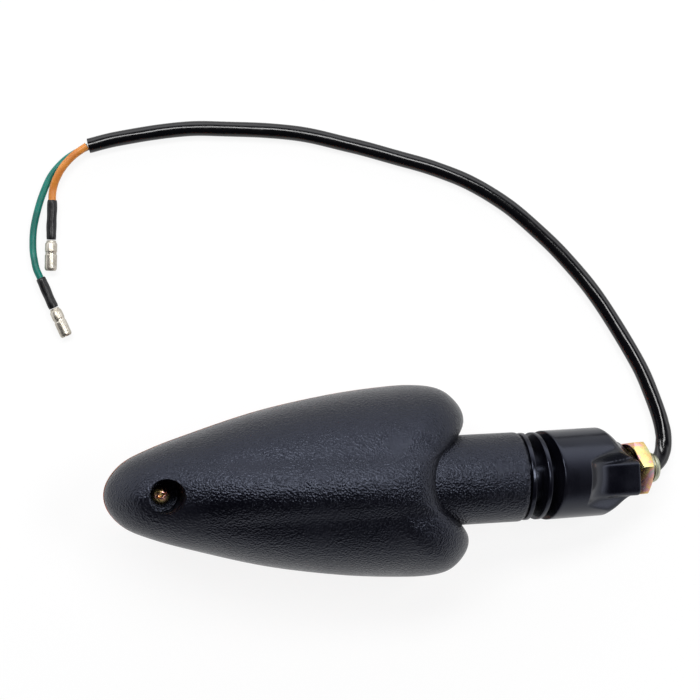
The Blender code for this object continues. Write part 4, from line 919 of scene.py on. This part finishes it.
top = Matrix.Translation((SCREW_X, 0, (WELL_FLOOR + HEAD_HEIGHT) * MM))
carve(screw, [("DIFFERENCE", blade(24), top), ("DIFFERENCE", blade(114), top)])
bevelled(screw, 0.07 * MM, 35)
screw.data.transform(HEAD)
add(screw, ZINC, "head", ["lens_screw"], smooth=40)

# %% [markdown]
# ## The rubber neck
#
# On the real lamp the neck is one flexible moulding with two narrow, deep grooves. Here it is three rigid
# pieces that nest like ball and socket, as in the CAD, because each rides on its own body and the
# grooves can open and close. The plug and the ring are turned profiles with rounded edges.

# %% Front plug and middle ring
RIB, BORE = 13.2, 3.0    # radii; the balls below are each a place along the neck and a radius
FRONT, FRONT_BALL, REAR, REAR_BALL = 128.0, 8.0, 131.65, 7.0

def arc_points(centre, radius, low, high, steps=14):
    angles = np.radians(np.linspace(low, high, steps + 1))
    return [(radius * math.cos(a), centre + radius * math.sin(a)) for a in angles]

def socket_points(centre, face, ball):
    """From a socket's lip at a face down to the neck's bore."""
    radius = ball + 0.3
    return arc_points(centre, radius, math.degrees(math.asin((face - centre) / radius)),
                      -math.degrees(math.acos(BORE / radius)))

def ball_points(centre, ball):
    """From the bore out to the ball's widest circle."""
    return arc_points(centre, ball, -math.degrees(math.acos(BORE / ball)), 0)

def rib(low, high, soft=0.3):
    """A rib's rim between two heights, its edges rounded."""
    near = [(RIB - soft + r, z) for r, z in arc_points(low + soft, soft, -90, 0, 5)]
    far = [(RIB - soft + r, z) for r, z in arc_points(high - soft, soft, 0, 90, 5)]
    return near + far

plug = [(BORE, 109), (9.9, 109), (10.7, 110.2), (10.7, 125.3), (11.6, 125.3), (11.6, 125.5)] + rib(125.5, 126.85)
plug += socket_points(FRONT, 126.85, FRONT_BALL)
ring = ball_points(FRONT, FRONT_BALL) + [(FRONT_BALL, 129.15)] + rib(129.15, 130.5)
ring += socket_points(REAR, 130.5, REAR_BALL)
for node, profile, body, place in (("neck_plug", plug, "head", HEAD),
                                   ("neck_ring", ring, "neck", RING @ Matrix.Translation((-REAR * MM, 0, 0)))):
    piece = thing_from(f"{node}_piece", turned(profile, 128, hollow=True), place @ ALONG)
    add(piece, RUBBER, body, [node], smooth=40)

# %% [markdown]
# ## The collar with its keyed block
#
# The collar starts as a round cylinder and ends as a block that only fits its hole one way: four sides, one
# of them the wide flat of the key, and one cut corner. It is a loft of rings round the stud's axis. At the
# key, the radius drops from a crisp edge half way along and levels out on the flat. Everywhere else it
# slopes down gently near the nut.

# %% Collar rings from round to keyed
ROUND, COLLAR_FRONT, COLLAR_END = 13.5, 1.15, 30.8
KEY_FACES, SLOPE_START, SLOPE_END, KEY_START, KEY_END = -13.5, 20.4, 30.2, 10.6, 19.6
BLOCK_SIDES = [(0, 8.9), (61.8, 6.2), (90, 8.6), (180, 8.6), (270, 7.8), (None, 10.9)]

def block_reach(angle):
    """The block's radius in a direction in degrees: its nearest side, with the edges between them softened."""
    total = 0
    for side, distance in BLOCK_SIDES:
        facing = 1 if side is None else math.cos(math.radians(angle - side))
        if facing > 0.1:
            total += (facing / distance) ** 34
    return total ** (-1 / 34)

def collar_radius(angle, along):
    """The round collar's radius as it shrinks to the block's."""
    key = 1 - float(ease(abs(angle - KEY_FACES), 28, 50))
    start, full = SLOPE_START + (KEY_START - SLOPE_START) * key, SLOPE_END + (KEY_END - SLOPE_END) * key
    t = min(max((along - start) / (full - start), 0), 1)
    slope = (t + t * t * (3 - 2 * t)) / 2
    dip = 1 - (1 - t) ** 2
    return ROUND + (block_reach(angle) - ROUND) * (slope + (dip - slope) * key)

def soft_end(start, direction, soft):
    """Rings of a rounded edge: each a distance along and how far it is drawn in."""
    angles = np.radians([0, 22, 45, 68, 90])
    return [(start + direction * soft * (1 - math.cos(a)), soft * (1 - math.sin(a))) for a in angles]

def collar_rings():
    rows = soft_end(COLLAR_FRONT, 1, 0.3) + [(along, 0) for along in np.linspace(2.5, 10.2, 8)]
    rows += [(along, 0) for along in np.arange(10.3, 11.0, 0.1)] + [(along, 0) for along in np.arange(11.2, 30, 0.4)]
    rows += soft_end(COLLAR_END, -1, 0.6)[::-1]
    rings = []
    for along, drawn_in in rows:
        ring = []
        for a in np.linspace(-180, 180, 192, endpoint=False):
            around = [collar_radius(a, along + near) for near in (-0.15, 0, 0.15)]
            radius = sum(around) / 3 - drawn_in
            turn = math.radians(a)
            ring.append((along * MM, radius * math.sin(turn) * MM, radius * math.cos(turn) * MM))
        rings.append(ring)
    return rings

collar = thing_from("collar_piece", skin(collar_rings()))
print("collar before cutting:", len(collar.data.polygons), "faces")

# %% Ball, passage and stud pocket of the collar
cap = ball_points(0, REAR_BALL)
ball = [(0, cap[0][1])] + cap + [(REAR_BALL, 3.15), (0, 3.15)]
pocket = [(0, 13.7), (7.9, 13.7), (7.9, 16.3), (5.3, 16.3), (5.3, 32), (0, 32)]
carve(collar, [("UNION", turned(ball), ALONG),
               ("DIFFERENCE", rod(BORE, -14, 14, 48), ALONG),
               ("DIFFERENCE", turned(pocket, 64), ALONG)])
collar.data.transform(MOUNT)
add(collar, RUBBER, "mount", ["rubber_collar"], smooth=55)

# %% [markdown]
# ## Stud thread and contact spring
#
# A thread and a coil spring are the same thing: a small profile swept along a helix. One Geometry Nodes
# tree makes both. The thread is a three-sided ridge sunk into the stud's core, thinning out at its
# ends, and the spring is a round wire.

# %% One tree for helices
def helix_tree():
    tree = Tree("helix_sweep", Radius=("Float", 5 * MM), Rise=("Float", 10 * MM), Turns=("Float", 4.0),
                Thickness=("Float", 0.4 * MM), Sides=("Int", 12), Fade=("Float", 0.001), Material=("Material", None))
    node, given = tree.node, tree.given
    spiral = node("CurveSpiral", {"Resolution": 48, "Rotations": given["Turns"], "Start Radius": given["Radius"],
                                  "End Radius": given["Radius"], "Height": given["Rise"]})
    share = node("SplineParameter", {})["Factor"]
    nearest = tree.maths("MINIMUM", share, tree.maths("SUBTRACT", 1.0, share))
    full = tree.maths("MAXIMUM", tree.maths("DIVIDE", nearest, given["Fade"], use_clamp=True), 0.15)
    sized = node("SetCurveRadius", {0: spiral[0], "Radius": full})
    profile = node("CurvePrimitiveCircle", {"Resolution": given["Sides"], "Radius": given["Thickness"]})
    swept = node("CurveToMesh", {"Curve": sized[0], "Profile Curve": profile[0], "Fill Caps": True, "Scale": full})
    return tree.end(swept[0], given["Material"])

HELIX = helix_tree()

def helix_piece(name, finish, place, **values):
    thing = HELIX.run(name, {**values, "Material": finish.material})
    thing.data.transform(place)
    return thing

print("helix inputs:", ", ".join(HELIX.identifiers))

# %% The stud with its thread
stud = rounded([(3.7, 14), (7.6, 14), (7.6, 16), (4.62, 16), (4.62, 40.1), (4.3, 40.9), (3.9, 40.9),
                (3.7, 40.6)], 0.25)
core = thing_from("stud_core", turned(stud, hollow=True), MOUNT @ ALONG)
thread = helix_piece("stud_thread", OLIVE, MOUNT @ ALONG @ Matrix.Translation((0, 0, 17.2 * MM)),
                     Radius=4.58 * MM, Rise=22.8 * MM, Turns=18.2, Thickness=0.40 * MM, Sides=3, Fade=0.02)
join = bmesh.new()
join.from_mesh(core.data)
join.from_mesh(thread.data)
join.to_mesh(core.data)
join.free()
bpy.data.objects.remove(thread, do_unlink=True)
add(core, OLIVE, "mount", ["mounting_stud"], smooth=40)

# %% The contact spring, which on the real lamp squashes as the bulb is pushed in
spring_place = HEAD @ Matrix.Translation((96.3 * MM, 0, 0)) @ Matrix.Rotation(math.radians(-90), 4, "Y")
spring = helix_piece("contact_spring_piece", STEEL, spring_place,
                     Radius=5.2 * MM, Rise=5.9 * MM, Turns=4.0, Thickness=0.4 * MM, Sides=10, Fade=0.001)
add(spring, STEEL, "head", ["contact_spring"], smooth=60)
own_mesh(spring)

# %% [markdown]
# ## The nut
#
# A hexagonal prism cut by a double cone, which gives the curved chamfer lines on its corners. The corner
# edges are rounded slightly, because plated nuts always catch a bright line there. The nut stands clocked by
# 5 degrees, as in the photograph.

# %% Nut
start, end, flat, clocked = 31.1, 36.1, 8.0, 5
corner = flat / math.cos(math.radians(30))
turns = [math.radians(60 * k - clocked) for k in range(6)]
hexagon = [[(corner * math.cos(a) * MM, corner * math.sin(a) * MM, z * MM) for a in turns] for z in (start, end)]
nut = thing_from("nut_piece", skin(hexagon))
face, wide = flat * 0.97, corner + 1
grow = (wide - face) * math.tan(math.radians(30))
cones = [(0, start), (face, start), (wide, start + grow), (wide, end - grow), (face, end), (0, end)]
hole = [(0, start - 1), (6.9, start - 1), (5.3, start + 0.6), (5.3, end - 0.6), (6.9, end + 1), (0, end + 1)]
carve(nut, [("INTERSECT", turned(cones, 128)), ("DIFFERENCE", turned(hole))])
bevelled(nut, 0.14 * MM, 25, 3)
nut.data.transform(MOUNT @ ALONG)
add(nut, ZINC, "nut", ["hex_nut"], smooth=24)

# %% [markdown]
# ## Pieces that keep their CAD shape
#
# The parts inside the head already have the right shapes: the reflector, the lamp, its bayonet socket, the
# little boards and terminals, and the seal. They only need their real finishes, so their material slots are
# set and their meshes are left alone.

# %% Finishes for the kept nodes
KEPT = {"reflector": SILVER, "lens_seal": RUBBER, "bulb_socket": STEEL, "socket_insulator": BOARD,
        "live_terminal": BRASS, "ground_terminal": BRASS, "socket_holder": RUBBER, "live_wire": ORANGE,
        "ground_wire": GREEN, "contact_plunger": BOARD, "bulb_base": BRASS, "bulb_contact": SOLDER,
        "bulb_glass": GLASS, "bulb_filament": STEEL}
for name, finish in KEPT.items():
    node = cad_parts[name]
    for place in node.material_slots:
        place.material = finish.material
print(len(KEPT), "CAD nodes keep their shape")

# %% [markdown]
# ## Sizes, and the end
#
# The boxes of the CAD and of the dressed model are printed one after the other. The
# dressed model has to fill the same box as the CAD.

# %% Print both boxes and finish
def plain(box):
    return [[float(v) for v in corner_point] for corner_point in box]

made_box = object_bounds()
for name, box in (("cad", cad_box), ("visual", made_box)):
    print(name, [[round(v / MM, 2) for v in corner_point] for corner_point in box])
